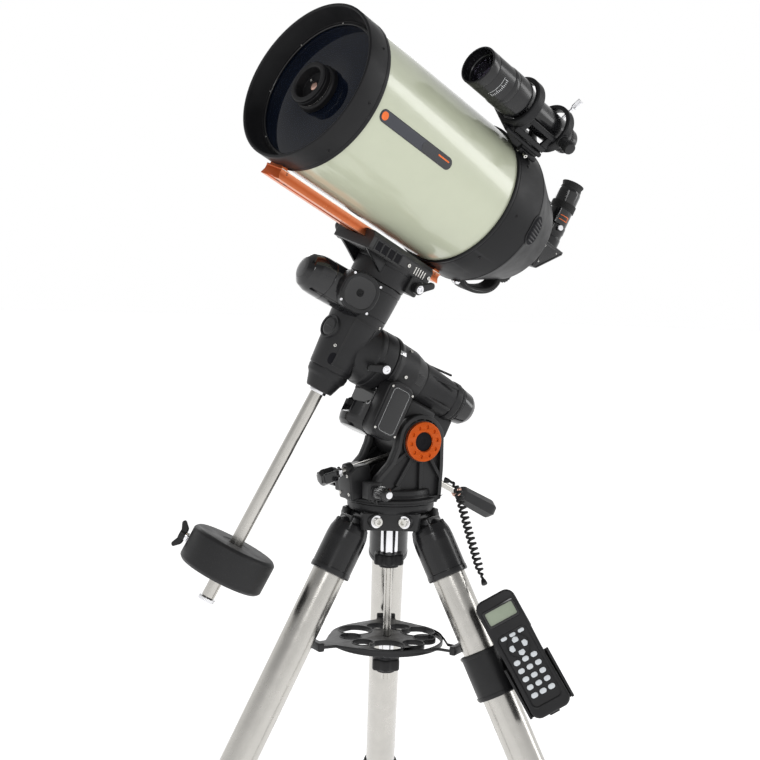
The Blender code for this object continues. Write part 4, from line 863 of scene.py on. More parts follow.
def finder_pieces():
    body = lathe(FINDER, [
        (27.5, 105), (29, 104.4), (29, 90.5), (28.6, 90), (28.6, 89.3), (29, 88.8), (29, 53),
        (29.4, 52), (30, 48), (30, 43.5), (29.6, 43), (29.6, 42), (30, 41.5), (30, 13), (27.5, 6),
        (22, -14), (22, -102), (19.6, -103), (19.6, -120), (18.2, -123.5), (16.5, -125), (12, -125),
        (12, -110), (20, -95), (20, -20), (24, 79), (24.8, 80), (24.8, 88), (26.2, 89),
        (26.4, 105)], 112, 0.7)
    piece("finder_body", "optical_tube", PAINT, body, hides=["finder_tube"])
    piece("finder_grip", "optical_tube", KNOB,
          prism(FINDER, lobed(20.3, 0.7, 36, 6), -113, -107, 0.5, [circle(0, 0, 19, 48)]))
    piece("finder_objective", "optical_tube", OBJECTIVE,
          lathe(FINDER, [(0, 86.2), (12, 85.3), (24.6, 82.2), (24.6, 80), (0, 80)], 96, 0))
    # A dark disc behind the objective paints the shade inside the finder.
    piece("finder_shade_disc", "optical_tube", BLACK_LINING_AND_SHADE, rod(FINDER, 23.6, 70, 68, 0, 64))
    ticks = []
    for k in range(13):
        long = 3.6 if k % 4 else 6.2
        ticks.append(wrapped(FINDER, constant(29), 34.0 - 5.0 * k, 66, 66 + long, 0.35, 0.2, 0.1,
                             rows=4, cols=2))
    ticks.append(wrapped(FINDER, constant(29), 4.0, 74.2, 74.7, 17, 0.2, 0.1, rows=4))
    piece("finder_scale", "optical_tube", PALE, *ticks)
    hoop = lathe(FINDER, [(36, 7.5), (37.5, 6), (37.5, -8), (36, -9.5), (31.2, -9.5), (30.8, 7.5)],
                 96, 1.2)
    rear = lathe(FINDER, [(35, -72.5), (36.2, -74), (36.2, -86), (35, -87.5), (30, -87.5),
                          (29, -80), (30, -72.5)], 96, 1.2)
    rails = []
    for side in (-1, 1):
        for low in (0, -22.5):
            at = FINDER @ shift(side * 30.5, low - 2, -40)
            rails.append(brick(at, (5, 8.5, 70), 1.8, 1.2))
        for z in (-13, -69):
            rails.append(brick(FINDER @ shift(side * 28.8, -13, z), (5, 30, 14), 1.8, 1.2))
    spine = brick(FINDER @ shift(0, -35.5, -41), (56, 7, 86), 3, 1.8)
    foot = brick(FINDER @ shift(0, -43.8, -70), (36, 13, 36), 4, 1.5)
    shoe = brick(FINDER @ shift(0, -48, -70), (44, 8, 40), 3, 1)
    webs = [prism(FINDER @ shift(side * 20.5) @ axes((0, 0, 1), (0, 1, 0), (-1, 0, 0)),
                  round_corners([(-6, -33.5), (4, -33.5), (4, -37), (-30, -48), (-44, -48),
                                 (-44, -33.5)], 1), -2.2, 2.2, 0.9) for side in (-1, 1)]
    piece("finder_bracket_casting", "optical_tube", CELL, hoop, rear, spine, foot, shoe, *rails,
          *webs, hides=["finder_bracket"])
    plunger = FINDER @ shift(0, 0, -80) @ spin("Z", PLUNGER_TURN) @ ALONG_X
    piece("finder_plunger", "optical_tube", PLASTIC, rod(plunger, 8.6, 60, 33.5, 1.2),
          ring(plunger, 10, 8, 39, 35, 0.8))
    piece("finder_plunger_cap", "optical_tube", KNOB,
          prism(plunger, lobed(9, 0.6, 24, 6), 48, 59, 0.6))
    screw = FINDER @ shift(0, 0, -80) @ spin("Z", SCREW_TURN) @ ALONG_X
    piece("finder_screw_steel", "finder_adjuster", CHROME, rod(screw, 2.4, 56, 22.4, 0.3),
          prism(screw, lobed(4.5, 0.5, 20, 6), 44, 59, 0.6), rod(screw, 3.4, 44.5, 40.5, 0.4),
          hides=["finder_screw"])
    other = FINDER @ shift(0, 0, -80) @ spin("Z", SCREW_TURN + 85) @ ALONG_X
    shoe_screws = [(FINDER @ shift(side * 18.5, -51.5, -53), 2.2, 1.2) for side in (-1, 1)]
    screws("finder_screws", "optical_tube", ZINC, *shoe_screws,
           (FINDER @ shift(23.8, -48, -60) @ ALONG_X, 3, 8), (other @ shift(z=35), 2.8, 6))


def dovetail():
    low, high, mid = 147.5, 162.5, 155
    section = [(-22, low), (-7, low), (-6.2, low + 1.2), (6.2, low + 1.2), (7, low), (22, low),
               (22, low + 0.8), (18, mid), (18, high), (10.5, high), (9.5, high - 2.2),
               (-9.5, high - 2.2), (-10.5, high), (-18, high), (-18, mid), (-22, low + 0.8)]
    bar = prism(across(85), section, -175, 175, 0.3)
    feet = []
    for y in (253, -84):
        feet.append(brick(DEC @ shift(0, y, 164), (30, 12, 5.6), 2, 0.8))
        feet.append(brick(DEC @ shift(0, y, 161.8), (36, 17, 3), 2, 0.8))
    piece("dovetail_orange", "optical_tube", ORANGE, bar, *feet, hides=["dovetail_bar"])
    # Pale strips along the bar's edges paint its highlight line.
    edges = [brick(DEC @ shift(side * x, 85, z), (wide, 349.6, tall), 0.2, 0.1)
             for x, z, wide, tall in ((21.4, low + 0.3, 0.6, 0.5), (17.9, high - 0.3, 0.5, 0.8))
             for side in (-1, 1)]
    piece("dovetail_edge_highlights", "optical_tube", EDGE_HIGHLIGHT, *edges)
    ends = [(DEC @ shift(0, y, low + 1.9) @ TURNED_OVER, 3.4, 1.8) for y in (230, 244, -64, -76)]
    sides = [(DEC @ shift(side * 16.9, y, 159) @ (ALONG_X if side > 0 else BACK_X), 1.8, 1.2)
             for side in (-1, 1) for y in (248, -80)]
    screws("dovetail_screws", "optical_tube", KNOB, *ends, *sides)


tube_pieces()
front_pieces()
rear_pieces()
rear_knob("focus_grip", "focuser", (5, -60), 14, 24, "focus_knob")
rear_knob("mirror_lock_grip", "mirror_lock", (23, 64), 11, 12, "mirror_lock_knob")
handle()
diagonal_pieces()
eyepiece_pieces()
finder_pieces()
dovetail()
piece("mirror_surface", "mirror", MIRROR,
      lathe(OTA, [(102.6, REAR_FRONT - 12), (102.6, REAR_FRONT - 30), (26.2, REAR_FRONT - 30),
                  (26.2, REAR_FRONT - 15), (60, REAR_FRONT - 14)], 160, 0.4),
      hides=["primary_mirror"])

# ---------------------------------------------------------------- azimuth base and fork

CHEEK_IN, CHEEK_OUT, GAP = 34.5, 51.5, 0.3
CHEEK_MIDDLE = (CHEEK_IN + CHEEK_OUT) / 2
FRONT_SCREW = TRIPOD @ shift(-6.2, 0, 74.2) @ spin("Y", -103.8)
REAR_SCREW = TRIPOD @ shift(37.5, 0, 54.1) @ spin("Y", 116.7)


def inset(points, depth):
    """An outline moved inward by depth."""
    area = sum(a[0] * b[1] - b[0] * a[1] for a, b in zip(points, points[1:] + points[:1]))
    turn = 1 if area > 0 else -1
    moved = []
    for i, point in enumerate(points):
        here = Vector(point)
        ahead = (Vector(points[(i + 1) % len(points)]) - here).normalized()
        back = (here - Vector(points[i - 1])).normalized()
        normals = [Vector((-d.y, d.x)) * turn for d in (back, ahead)]
        middle = (normals[0] + normals[1]).normalized()
        moved.append(tuple(here + middle * depth / max(middle.dot(normals[0]), 0.5)))
    return moved


def spoke(m, angle, start, end, wide, high):
    """A rib across a pocket, reaching out from Z at an angle; it is drawn in local XY."""
    long = end - start
    return brick(m @ spin("Z", angle) @ shift((start + end) / 2, 0, 0), (long, wide, high), 1, 0.9)


def cheek(side):
    outline = [(-60, 12), (58, 12), (61, 60), (60.5, 110)]
    outline += arc(PIVOT_X, PIVOT_Z, 40, 20, 158, 22)
    outline += [(-21, 92), (-30, 72), (-52, 50), (-60, 34)]
    outline = round_corners(outline, 4)
    at = TRIPOD @ shift(y=side * CHEEK_MIDDLE) @ UPRIGHT
    pivot = at @ shift(PIVOT_X, PIVOT_Z)
    half = (CHEEK_OUT - CHEEK_IN) / 2
    bore = circle(PIVOT_X, PIVOT_Z, 18.5, 64)
    windows = []
    for turn in (44, 70, 96, 122):
        tips = [(32.5, turn - 8), (32.5, turn + 8), (36.8, turn)]
        windows.append(round_corners([(PIVOT_X + r * math.cos(math.radians(a)),
                                       PIVOT_Z + r * math.sin(math.radians(a))) for r, a in tips],
                                     0.8))
    shapes = [prism(at, outline, -half + 5.8, half - 5.8, 0.6, [bore, *windows]),
              prism(at, outline, -half, half, 1.6, [inset(outline, 4.8)]),
              ring(pivot, 31.8, 18.5, half, -half, 1, 96)]
    shapes += [spoke(pivot, turn, 31, 37.2, 3.4, 2 * half - 1) for turn in (31, 57, 83, 109, 135)]
    shapes += [spoke(pivot, turn, 31, reach, 5.2, 2 * half - 1)
               for turn, reach in ((-22, 38.5), (-58, 70), (-90, 86), (-122, 78), (-146, 60))]
    web = [(-46, 18), (-10, 18), (-14, 40)]
    shapes.append(prism(at, round_corners(web, 2), -half + 1.4, half - 1.4, 1.2))
    return merged(*shapes)


def mount_base():
    base = lathe(TRIPOD, [
        (12, 30), (58.6, 30), (60.6, 28.4), (61.8, 22.2), (61, 21.6), (61.1, 20.4), (62.2, 19.8),
        (63.2, 17.4), (69, 16), (70, 15), (70, 12.8), (69.3, 12.4), (69.3, 11.2), (70, 10.8),
        (70, 9), (69, 8), (12, 8)], 160, 0.8)
    shapes = [base]
    for side in (-1, 1):
        shapes.append(cheek(side))
        shapes.append(brick(TRIPOD @ shift(-58, side * 42, 31), (22, 24, 26), 4, 2.2))
        eye = TRIPOD @ shift(-58, side * 54, 31) @ facing(side)
        shapes.append(ring(eye, 8.8, 4.3, 2.6, -1, 0.8, 48))
    front = TRIPOD @ shift(-64, 0, 39.5) @ spin("Y", -8) @ UPRIGHT
    nose = round_corners([(-18, -25), (18, -25), (18, 25), (-3, 25), (-18, 14)], 3)
    shapes.append(prism(front, nose, -20, 20, 2.6))
    shapes.append(ring(FRONT_SCREW, 10.5, 5.3, 76.5, 66, 1, 48))
    rear = TRIPOD @ shift(57, 0, 38) @ UPRIGHT
    tail = round_corners([(-10, -20), (10, -20), (10, 9), (2, 20), (-10, 20)], 2)
    shapes.append(prism(rear, tail, -36, 36, 2.2))
    piece("mount_base_casting", "mount_base", CASTING, *shapes, hides=["azimuth_base"])
    plate = TRIPOD @ shift(-80.3, 0, 33.5) @ spin("Y", -98)
    screws("mount_base_screws", "mount_base", ZINC,
           *[(plate @ shift(x, y, 0.8), 2.6, 1.6) for x in (-12, 16) for y in (-13, 13)])
    for name, side in (("west", -1), ("east", 1)):
        at = TRIPOD @ shift(PIVOT_X, side * (CHEEK_OUT + GAP), PIVOT_Z) @ facing(side)
        dimples = [circle(22.6 * math.cos(a), 22.6 * math.sin(a), 2.4, 20)
                   for a in (math.radians(36 * k + 6) for k in range(10))]
        flange = prism(at, circle(0, 0, 30, 128), 4, 6.8, 0.9, [circle(0, 0, 15.2, 96), *dimples])
        sleeve = lathe(at, [(29.5, 4.8), (30, 4.2), (30, 0), (18, 0), (18, -28), (14.2, -28),
                            (14.2, 5), (15, 5.6)], 128, 0.5)
        groove = ring(at, 30.3, 29, 3.2, 2.6, 0.2, 128)
        piece(f"latitude_ring_{name}_orange", "mount_base", ORANGE_RING, flange, sleeve, groove,
              hides=[f"latitude_ring_{name}"])
        # A plug in the ring's bore, matt black so that it paints the bore's shade.
        cap = lathe(at, [(0, 1.2), (4, 1.2), (4.6, 2), (12, 2.4), (14, 3.6), (14.15, 1), (14.1, -4),
                         (0, -4)], 96, 0.5)
        piece(f"latitude_bore_shade_plug_{name}", "mount_base", BLACK_LINING_AND_SHADE, cap)


def azimuth_screw(name, side):
    at = TRIPOD @ shift(-58, side * 34, 31) @ facing(side)
    grip = prism(at, lobed(10.5, 0.6, 26, 6), 29, 53.5, 1.2)
    dome = lathe(at, [(0, 58.8), (6.6, 57.8), (9.4, 54), (9.8, 52.6), (0, 52.6)], 64, 0.6)
    piece(f"azimuth_knob_{name}_grip", f"azimuth_screw_{name}", GLOSS, grip, dome,
          hides=[f"azimuth_knob_{name}"])
    piece(f"azimuth_knob_{name}_steel", f"azimuth_screw_{name}", CHROME, rod(at, 4, 30, 0, 0.4),
          rod(at, 5.2, 60, 57.5, 0.6), ring(at, 7.4, 3.8, 29.2, 25.2, 0.5, 48))


def latitude_screws():
    front, rear = FRONT_SCREW, REAR_SCREW
    piece("latitude_screw_north_rod", "latitude_bolt_north", STEEL["head"], rod(front, 5, 90, 0, 1))
    piece("latitude_screw_north_nut", "latitude_bolt_north", CHROME,
          prism(front, circle(0, 0, 8.8, 6), 84.6, 89, 0.6),
          ring(front, 7.8, 4.8, 91.2, 88.8, 0.4, 48))
    wing = [(-8, -13), (8, -13), (6, 0), (8, 13), (-8, 13), (-6, 0)]
    piece("latitude_screw_north_grip", "latitude_bolt_north", GLOSS,
          lathe(front, [(0, 121.5), (9.6, 121), (12.8, 116), (12.2, 98), (8.5, 90), (0, 90)], 6,
                1.6), prism(front, round_corners(wing, 2), 96, 118, 2.2),
          hides=["latitude_screw_north"])
    piece("latitude_screw_south_rod", "latitude_bolt_south", STEEL["head"], rod(rear, 5, 98, 0, 1))
    piece("latitude_screw_south_neck", "latitude_bolt_south", BRASS,
          ring(rear, 8.6, 4.8, 96, 90.5, 0.6, 48), ring(rear, 7.2, 4.8, 90.5, 88, 0.4, 48))
    grip = lathe(rear, [(0, 170), (11, 169.5), (14.6, 164), (15, 160), (13.8, 104), (10, 95.5),
                        (0, 95.5)], 6, 1.8)
    piece("latitude_screw_south_grip", "latitude_bolt_south", PLASTIC, grip,
          rod(rear, 7, 171.2, 169, 0.6), hides=["latitude_screw_south"])


# ---------------------------------------------------------------- polar housing


def kept_clear(shape):
    """Holds a shape back from the turning neck and its clutch lever."""
    corners, faces = shape
    top = -64.8  # the neck's lower face, in the POLAR frame
    moved = [POLAR.inverted() @ corner for corner in corners]
    for local in moved:
        if math.hypot(local.x, local.y) < 70:
            local.z = min(local.z, top)
    return [POLAR @ local for local in moved], faces


def polar_pieces():
    body = lathe(POLAR, [
        (13, -71), (45.6, -71), (47, -72.2), (47, -74.2), (46.3, -74.5), (46.3, -75.2),
        (46.9, -75.6), (46.5, -79), (43.7, -85), (42, -115), (41.2, -118), (36.2, -134),
        (35.2, -136), (35.2, -137), (35.7, -138), (30, -201), (31.2, -202), (31.2, -212),
        (30, -213.6), (13, -213.6)], 160, 1.2)
    eye = rod(HINGE @ ALONG_Y, 33, 33.5, -33.5, 1.6, 96)
    neck = brick(HINGE @ shift(26, 0, 8), (56, 60, 50), 8, 4)
    finger = HINGE @ axes(OVER_POLE, (0, 1, 0), TO_POLE).inverted() @ shift(-5.5, 0, -38)
    web = brick(HINGE @ shift(42, 0, -30), (30, 11, 70), 4, 2.2)
    ribs = [brick(POLAR @ spin("Z", a) @ shift(34.8, 0, -165) @ spin("Y", -5.2), (3.6, 4.2, 62),
                  1.6, 1.2) for a in (-118, -62, 62, 118, 0)]
    piece("polar_housing_casting", "polar_head", CASTING, body, eye, neck,
          brick(finger, (36, 24, 36), 3, 2), web, *ribs, hides=["polar_housing"])
    screws("polar_housing_screws", "polar_head", ZINC,
           *[(POLAR @ spin("Z", a) @ shift(43.6, 0, -96) @ ALONG_X, 2.6, 1.8)
             for a in (-100, -40, 40, 100)])
    clip = POLAR @ spin("Z", -62) @ shift(46.8, 0, -77.2)
    piece("polar_pointer", "polar_head", CHROME, brick(clip, (2.2, 7, 11), 1.6, 0.6),
          cap_screw(clip @ shift(x=0.6, z=-2.2) @ ALONG_X, 2, 1.2))
    at = POLAR @ shift(0, 0, -79.5) @ ALONG_X
    profile = [(0, -40), (32.8, -40), (33, -41)]
    profile += [(33, -41 - 4 * k) for k in range(1, 5)]
    profile += [(33, -59), (32.3, -59.6), (32.3, -60.4), (33, -61)]
    profile += [(33, -61 - 4 * k) for k in range(1, 3)]
    profile += [(33, -90), (32.7, -94), (31, -101), (26, -106.5), (18, -107.6), (0, -108)]
    piece("ra_motor_barrel", "polar_head", GLOSS, kept_clear(lathe(at, profile, 144, 0.8)),
          hides=["ra_motor_cover"])
    piece("ra_motor_collar", "polar_head", CASTING,
          kept_clear(ring(at, 34.5, 32, -46, -42, 0.8, 128)))
    box = POLAR @ shift(-65, -49.5, -88) @ axes((0, 0, 1), (1, 0, 0), (0, 1, 0))
    cover = prism(box, rounded_box(46, 86, 14, 8), -13, 16, 2.4)
    face = prism(box, rounded_box(41.5, 81.5, 12, 8), -16, -12, 2.8, rounds=4)
    piece("ra_gear_case", "polar_head", PLASTIC, cover, face, hides=["ra_gear_cover"])
    piece("ra_gear_plate", "polar_head", GLOSS,
          prism(box, rounded_box(33, 72, 8.5, 8), -16.5, -15.8, 0.3))
    piece("ra_gear_plate_line", "polar_head", PALE,
          prism(box, rounded_box(29, 68, 6.6, 8), -16.68, -16.4, 0.1,
                [rounded_box(28.4, 67.4, 6.3, 8)]))
    screws("ra_gear_screws", "polar_head", ZINC, *[(box @ shift(x, y, -15.8) @ TURNED_OVER, 1.8, 1)
                                                   for x, y in ((18.6, -33), (-18.6, 33),
                                                                (18.6, 33), (-18.6, -33))])
    socket = box @ shift(0, -43.2, 0) @ axes((1, 0, 0), (0, 0, 1), (0, -1, 0))
    # A flat dark patch paints the shade inside the socket's opening.
    piece("ra_gear_socket_shade", "polar_head", BLACK_LINING_AND_SHADE,
          prism(socket, rounded_box(15, 12, 1.4), -0.4, 0.6, 0.2))
    cap = lathe(POLAR, [(0, -214), (28.5, -214), (28.5, -219.6), (27.9, -220), (27.9, -220.6),
                        (28.3, -221.2), (25.7, -239), (20.5, -247), (12, -248.2), (0, -248.5)], 128,
                1.2)
    piece("polar_cap_shell", "polar_head", GLOSS, cap, hides=["polar_cap"])
    piece("polar_cap_grip", "polar_head", KNOB,
          prism(POLAR @ shift(z=-219), lobed(29.2, 0.7, 48, 6), 0, 4.6, 0.6,
                [circle(0, 0, 28, 64)]))
    hatch = POLAR @ spin("Z", -92) @ shift(39.8, 0, -122) @ ALONG_X
    piece("polar_hatch", "polar_head", GLOSS, prism(hatch, rounded_box(14, 18, 5), -3, 1.2, 0.6))


def clutch(name, body, at, node):
    """A cam lever with its pivot screw; -X is the way the lever points."""
    blade = [(6, -6.2), (-6, -6), (-28, -4), (-30, 1), (-28, 5.6), (-4, 6.2), (6, 6.2)]
    piece(name, body, PLASTIC, prism(at, round_corners(blade, 3), 5, 12, 1.2),
          lathe(at, [(0, 13), (7.4, 13), (8.5, 11.8), (8.5, 3), (0, 3)], 64, 0.5), hides=[node])
    piece(name + "_screw", body, CHROME, cap_screw(at @ shift(z=12.6), 5, 2.6),
          ring(at, 6.4, 3, 13.6, 12.6, 0.3, 40))


# ---------------------------------------------------------------- declination head


def dec_radius(z):
    """The declination housing's outside radius."""
    return radius_from([(102, 42.5), (48, 41.5), (-45, 32.2)], z)


def declination_pieces():
    body = lathe(DEC_HEAD, [
        (11, 102), (41.5, 102), (42.5, 100.5), (42.4, 93), (41.7, 92.6), (41.7, 91.8), (42.3, 91.4),
        (41.8, 53), (41, 52.6), (41, 51.8), (41.6, 51.4), (41.5, 48), (32.2, -45), (30.4, -45.6),
        (31.2, -47.4), (31.2, -48.6), (30, -56), (27, -60), (26.2, -61.6), (20.5, -78), (19, -79),
        (11, -79)], 160, 0.9)
    neck = lathe(DEC_HEAD @ axes((1, 0, 0), (0, 0, -1), (0, 1, 0)), [
        (0, 0), (33, 0), (40, -20), (44, -38.5), (45.6, -40), (46.2, -41.4), (46.3, -48),
        (45.7, -48.5), (45.7, -49.3), (46.3, -49.8), (46.5, -69), (45.5, -70.5), (12, -70.5),
        (12, -90), (0, -90)], 160, 1)
    panel = [wrapped(DEC_HEAD, dec_radius, 180.0, -38, 40, 18.5, 1.1, 4)]
    for side in (-1, 1):
        turn = 180.0 + side * math.degrees(17.2 / 37)
        panel.append(wrapped(DEC_HEAD, dec_radius, turn, -37, 39, 1, 1.9, 0.9, cols=4))
    panel += [wrapped(DEC_HEAD, dec_radius, 180.0, z, z + 2, 17.5, 1.9, 0.9) for z in (-37, 37.2)]
    port = DEC_HEAD @ shift(z=12) @ spin("Z", 12) @ ALONG_Y
    collar = ring(port, 18.2, 15, 40, 30, 1, 96)
    piece("dec_housing_casting", "declination_head", CASTING, body, neck, *panel, collar,
          hides=["dec_housing"])
    # A thin dark patch laid on the housing paints the shade of a notch; the housing is not cut.
    piece("dec_housing_notch_shade", "declination_head", BLACK_LINING_AND_SHADE,
          wrapped(DEC_HEAD, dec_radius, 147.0, -38, -20, 6.5, 0.3, 6.4))
    lid = lathe(port, [(0, 39.6), (11, 39.6), (14.2, 39), (15.2, 38), (15.2, 30), (0, 30)], 96, 0.6)
    slot = brick(port @ shift(z=39.6), (14, 1.8, 0.8), 0.4, 0.3)
    piece("dec_port_lid", "declination_head", GLOSS, lid, slot)
    heads = [(DEC_HEAD @ spin("Z", a) @ shift(dec_radius(z) - 0.6, 0, z) @ ALONG_X, 2.4, 1.6)
             for a, z in ((138, 43), (138, -10), (60, 43), (215, 43))]
    screws("dec_housing_screws", "declination_head", ZINC, *heads)
    barrel_at = DEC_HEAD @ shift(-20, 0, 66) @ ALONG_Y
    barrel = lathe(barrel_at, [(0, 127), (9, 126.6), (16, 125.5), (25, 119), (29, 108), (29.8, 98),
                               (30, 86), (29.4, 85.5), (29.4, 84.7), (30, 84.2), (30, 20), (0, 20)],
                   128, 1.4)
    piece("dec_motor_barrel", "declination_head", GLOSS, barrel, hides=["dec_motor_cover"])
    case_at = DEC_HEAD @ shift(-48, 45, 72) @ axes((0, 1, 0), (0, 0, 1), (1, 0, 0))
    outline = rounded_box(62, 58, 26, 14)
    case = prism(case_at, outline, -11.8, 14, 2.4)
    rim = prism(case_at, inset(outline, 1.4), -14, -10, 1.4, [inset(outline, 7.2)])
    piece("dec_gear_case", "declination_head", PLASTIC, case, rim)
    piece("dec_gear_case_seam", "declination_head", BLACK_LINING_AND_SHADE,
          prism(case_at, outline, 0.4, 1.2, 0.2, [inset(outline, 2)]))
    dish = [[case_at @ Vector((x * t, y * t, depth)) for x, y in inset(outline, 6.8)]
            for t, depth in ((1.0, -12.8), (0.8, -12.2), (0.55, -11.9), (0.25, -11.8))]
    piece("dec_gear_face", "declination_head", GLOSS, skinned(dish, first=False))
    screws("dec_gear_screws", "declination_head", CHROME,
           *[(case_at @ shift(x, y, -13.8) @ TURNED_OVER, 2, 1.2)
             for x, y in ((23.5, 21.5), (-23.5, 21.5), (23.5, -21.5), (-23.5, -21.5))])
    piece("counterweight_bar_chrome", "declination_head", STEEL["bar"],
          lathe(DEC_HEAD, [(0, 60), (10, 60), (10, -424), (9, -425), (4.6, -425), (4.6, -405),
                           (0, -405)], 64, 0.8), hides=["counterweight_bar"])
    piece("bar_nose_ring", "declination_head", CHROME,
          ring(DEC_HEAD, 13.6, 9.8, -78.5, -83.5, 0.8, 64))
    piece("bar_stop_chrome", "declination_head", CHROME,
          prism(DEC_HEAD, lobed(13, 0.4, 36, 6), -431.6, -425.4, 0.8), rod(DEC_HEAD, 4, -406, -430),
          hides=["bar_stop_screw"])


def weight_pieces():
    outer = 66.3
    piece("counterweight_iron", "weight", IRON, lathe(DEC_HEAD, [
        (outer - 5, -336), (outer, -340.8), (outer, -386.2), (outer - 5, -391), (23, -391),
        (20, -389.6), (10.3, -389.6), (10.3, -337.4), (20, -337.4), (23, -336)], 192, 2),
          hides=["counterweight"])
    at = DEC_HEAD @ shift(z=-362) @ spin("Z", 62) @ ALONG_X
    piece("weight_screw_steel", "weight_screw", CHROME, rod(at, 4, 73.5, 10.6, 0.4),
          ring(at, 7, 3.5, 72.5, 66.8, 0.6, 40))
    wing = prism(at @ shift(z=78) @ spin("X", 90),
                 round_corners([(-22, 3), (-18, 7.5), (-5, 2), (5, 2), (18, 7.5), (22, 3),
                                (12, -7.2), (-12, -7.2)], 3, 5), -4.25, 4.25, 1.8)
    piece("weight_screw_wing", "weight_screw", PLASTIC, wing, rod(at, 7.4, 81, 71.2, 1.2),
          hides=["weight_knob"])


# ---------------------------------------------------------------- saddle


def saddle_pieces():
    section = [(-42, 133), (42, 133), (42, 154), (37, 160), (18.4, 160), (18.4, 155), (22.4, 147.1),
               (-22.4, 147.1), (-18.4, 155), (-18.4, 160), (-37, 160), (-42, 154)]
    body = prism(DEC @ shift(y=13) @ UPRIGHT, section, -67.5, 67.5, 0.8)
    puck = lathe(DEC, [(9, 138), (44, 138), (43.8, 129), (43.1, 128.4), (43.1, 127.6), (43.6, 127),
                       (43, 103.4), (42.4, 102.5), (9, 102.5)], 160, 1)
    boss = brick(DEC @ shift(-27, -33, 122), (34, 24, 28), 4, 2.4)
    webs = [prism(DEC @ shift(side * 30) @ axes((0, 1, 0), (0, 0, 1), (1, 0, 0)),
                  round_corners([(30, 134), (76, 134), (30, 113)], 2), -3, 3, 1.2)
            for side in (-1, 1)]
    ribs = [brick(DEC @ shift(-42.2, y, 143), (1.6, 3, 18), 0.7, 0.6) for y in (15, 29, 43, 57, 71)]
    rails = [brick(DEC @ shift(side * 42.4, 13, z), (1.4, 133, 2.2), 0.6, 0.5) for side in (-1, 1)
             for z in (134.5, 152.8)]
    piece("saddle_casting", "saddle_head", CASTING, body, puck, boss, *webs, *ribs, *rails,
          hides=["saddle"])
    # Thin dark plates on the saddle's side, between its ribs, paint the shade of its pockets.
    piece("saddle_pocket_shade", "saddle_head", BLACK_LINING_AND_SHADE,
          *[brick(DEC @ shift(-42, y, 143.5), (0.8, 10, 13), 0.3, 0.2) for y in (22, 36, 50, 64)])
    piece("saddle_grid", "saddle_head", ZINC,
          *[brick(DEC @ shift(-42.2, -40 + 5.2 * k, 143), (1.6, 1.8, 12), 0.7, 0.5)
            for k in range(5)])
    jaws = [(DEC @ shift(x, y, 159.6), 2.6, 1) for x in (-29, 29) for y in (-44, 2, 70)]
    sides = [(DEC @ shift(-41.8, y, 144) @ BACK_X, 3, 1.8) for y in (-4, -50)]
    screws("saddle_screws", "saddle_head", ZINC, *jaws, *sides)
    piece("saddle_shaft_steel", "saddle_head", STEEL["bar"], ring(DEC, 10.2, 7, 136, 70, 0.5, 48))


def saddle_knob(name, body, y, grip, long, node):
    """A clamp knob; grip is its lobed outline."""
    at = DEC @ shift(22.7, y, 151.2) @ ALONG_X
    near = 24
    piece(name + "_grip", body, KNOB, prism(at, grip, near, near + long, 2.4), hides=[node])
    piece(name + "_steel", body, CHROME, rod(at, 4, near + 2, 0, 0.4),
          ring(at, 7.8, 3.8, near + 1, near - 2.2, 0.5, 48))


mount_base()
azimuth_screw("west", -1)
azimuth_screw("east", 1)
latitude_screws()
polar_pieces()
declination_pieces()
weight_pieces()
clutch("ra_clutch_grip", "ra_clutch", RA @ shift(-6, -46, -53) @ spin("X", 90) @ spin("Z", -68),
       "ra_clutch_lever")
saddle_pieces()
saddle_knob("saddle_clamp", "saddle_clamp", 51, lobed(16.5, 3.5, 4), 21, "saddle_clamp_knob")
saddle_knob("saddle_safety", "saddle_safety", -25, lobed(8.5, 1.2, 8), 12, "saddle_safety_screw")
clutch("dec_clutch_grip", "dec_clutch", DEC @ shift(-44, -33, 121) @ BACK_X @ spin("Z", 127),
       "dec_clutch_lever")

# ---------------------------------------------------------------- hand controller

HANDSET_LONG, HANDSET_WIDE, HANDSET_THICK = 186, 62, 26
FACE = HANDSET @ shift(y=-HANDSET_THICK / 2) @ UPRIGHT  # X across, Y up, Z out of the face


def handset_outline(margin):
    """The case's outline, a little narrower at its waist."""
    outline = rounded_box(HANDSET_WIDE - 2 * margin, HANDSET_LONG - 2 * margin, 14, 10)
    dense = []
    for (x0, y0), (x1, y1) in zip(outline, outline[1:] + outline[:1]):
        steps = max(1, int(math.hypot(x1 - x0, y1 - y0) / 6))
        dense += [(x0 + (x1 - x0) * k / steps, y0 + (y1 - y0) * k / steps) for k in range(steps)]
    waists = [0.05 * math.cos(math.pi * min(abs(y + 12) / 75, 1) / 2) ** 2 for _, y in dense]
    return [(x * (1 - waist), y) for waist, (x, y) in zip(waists, dense)]


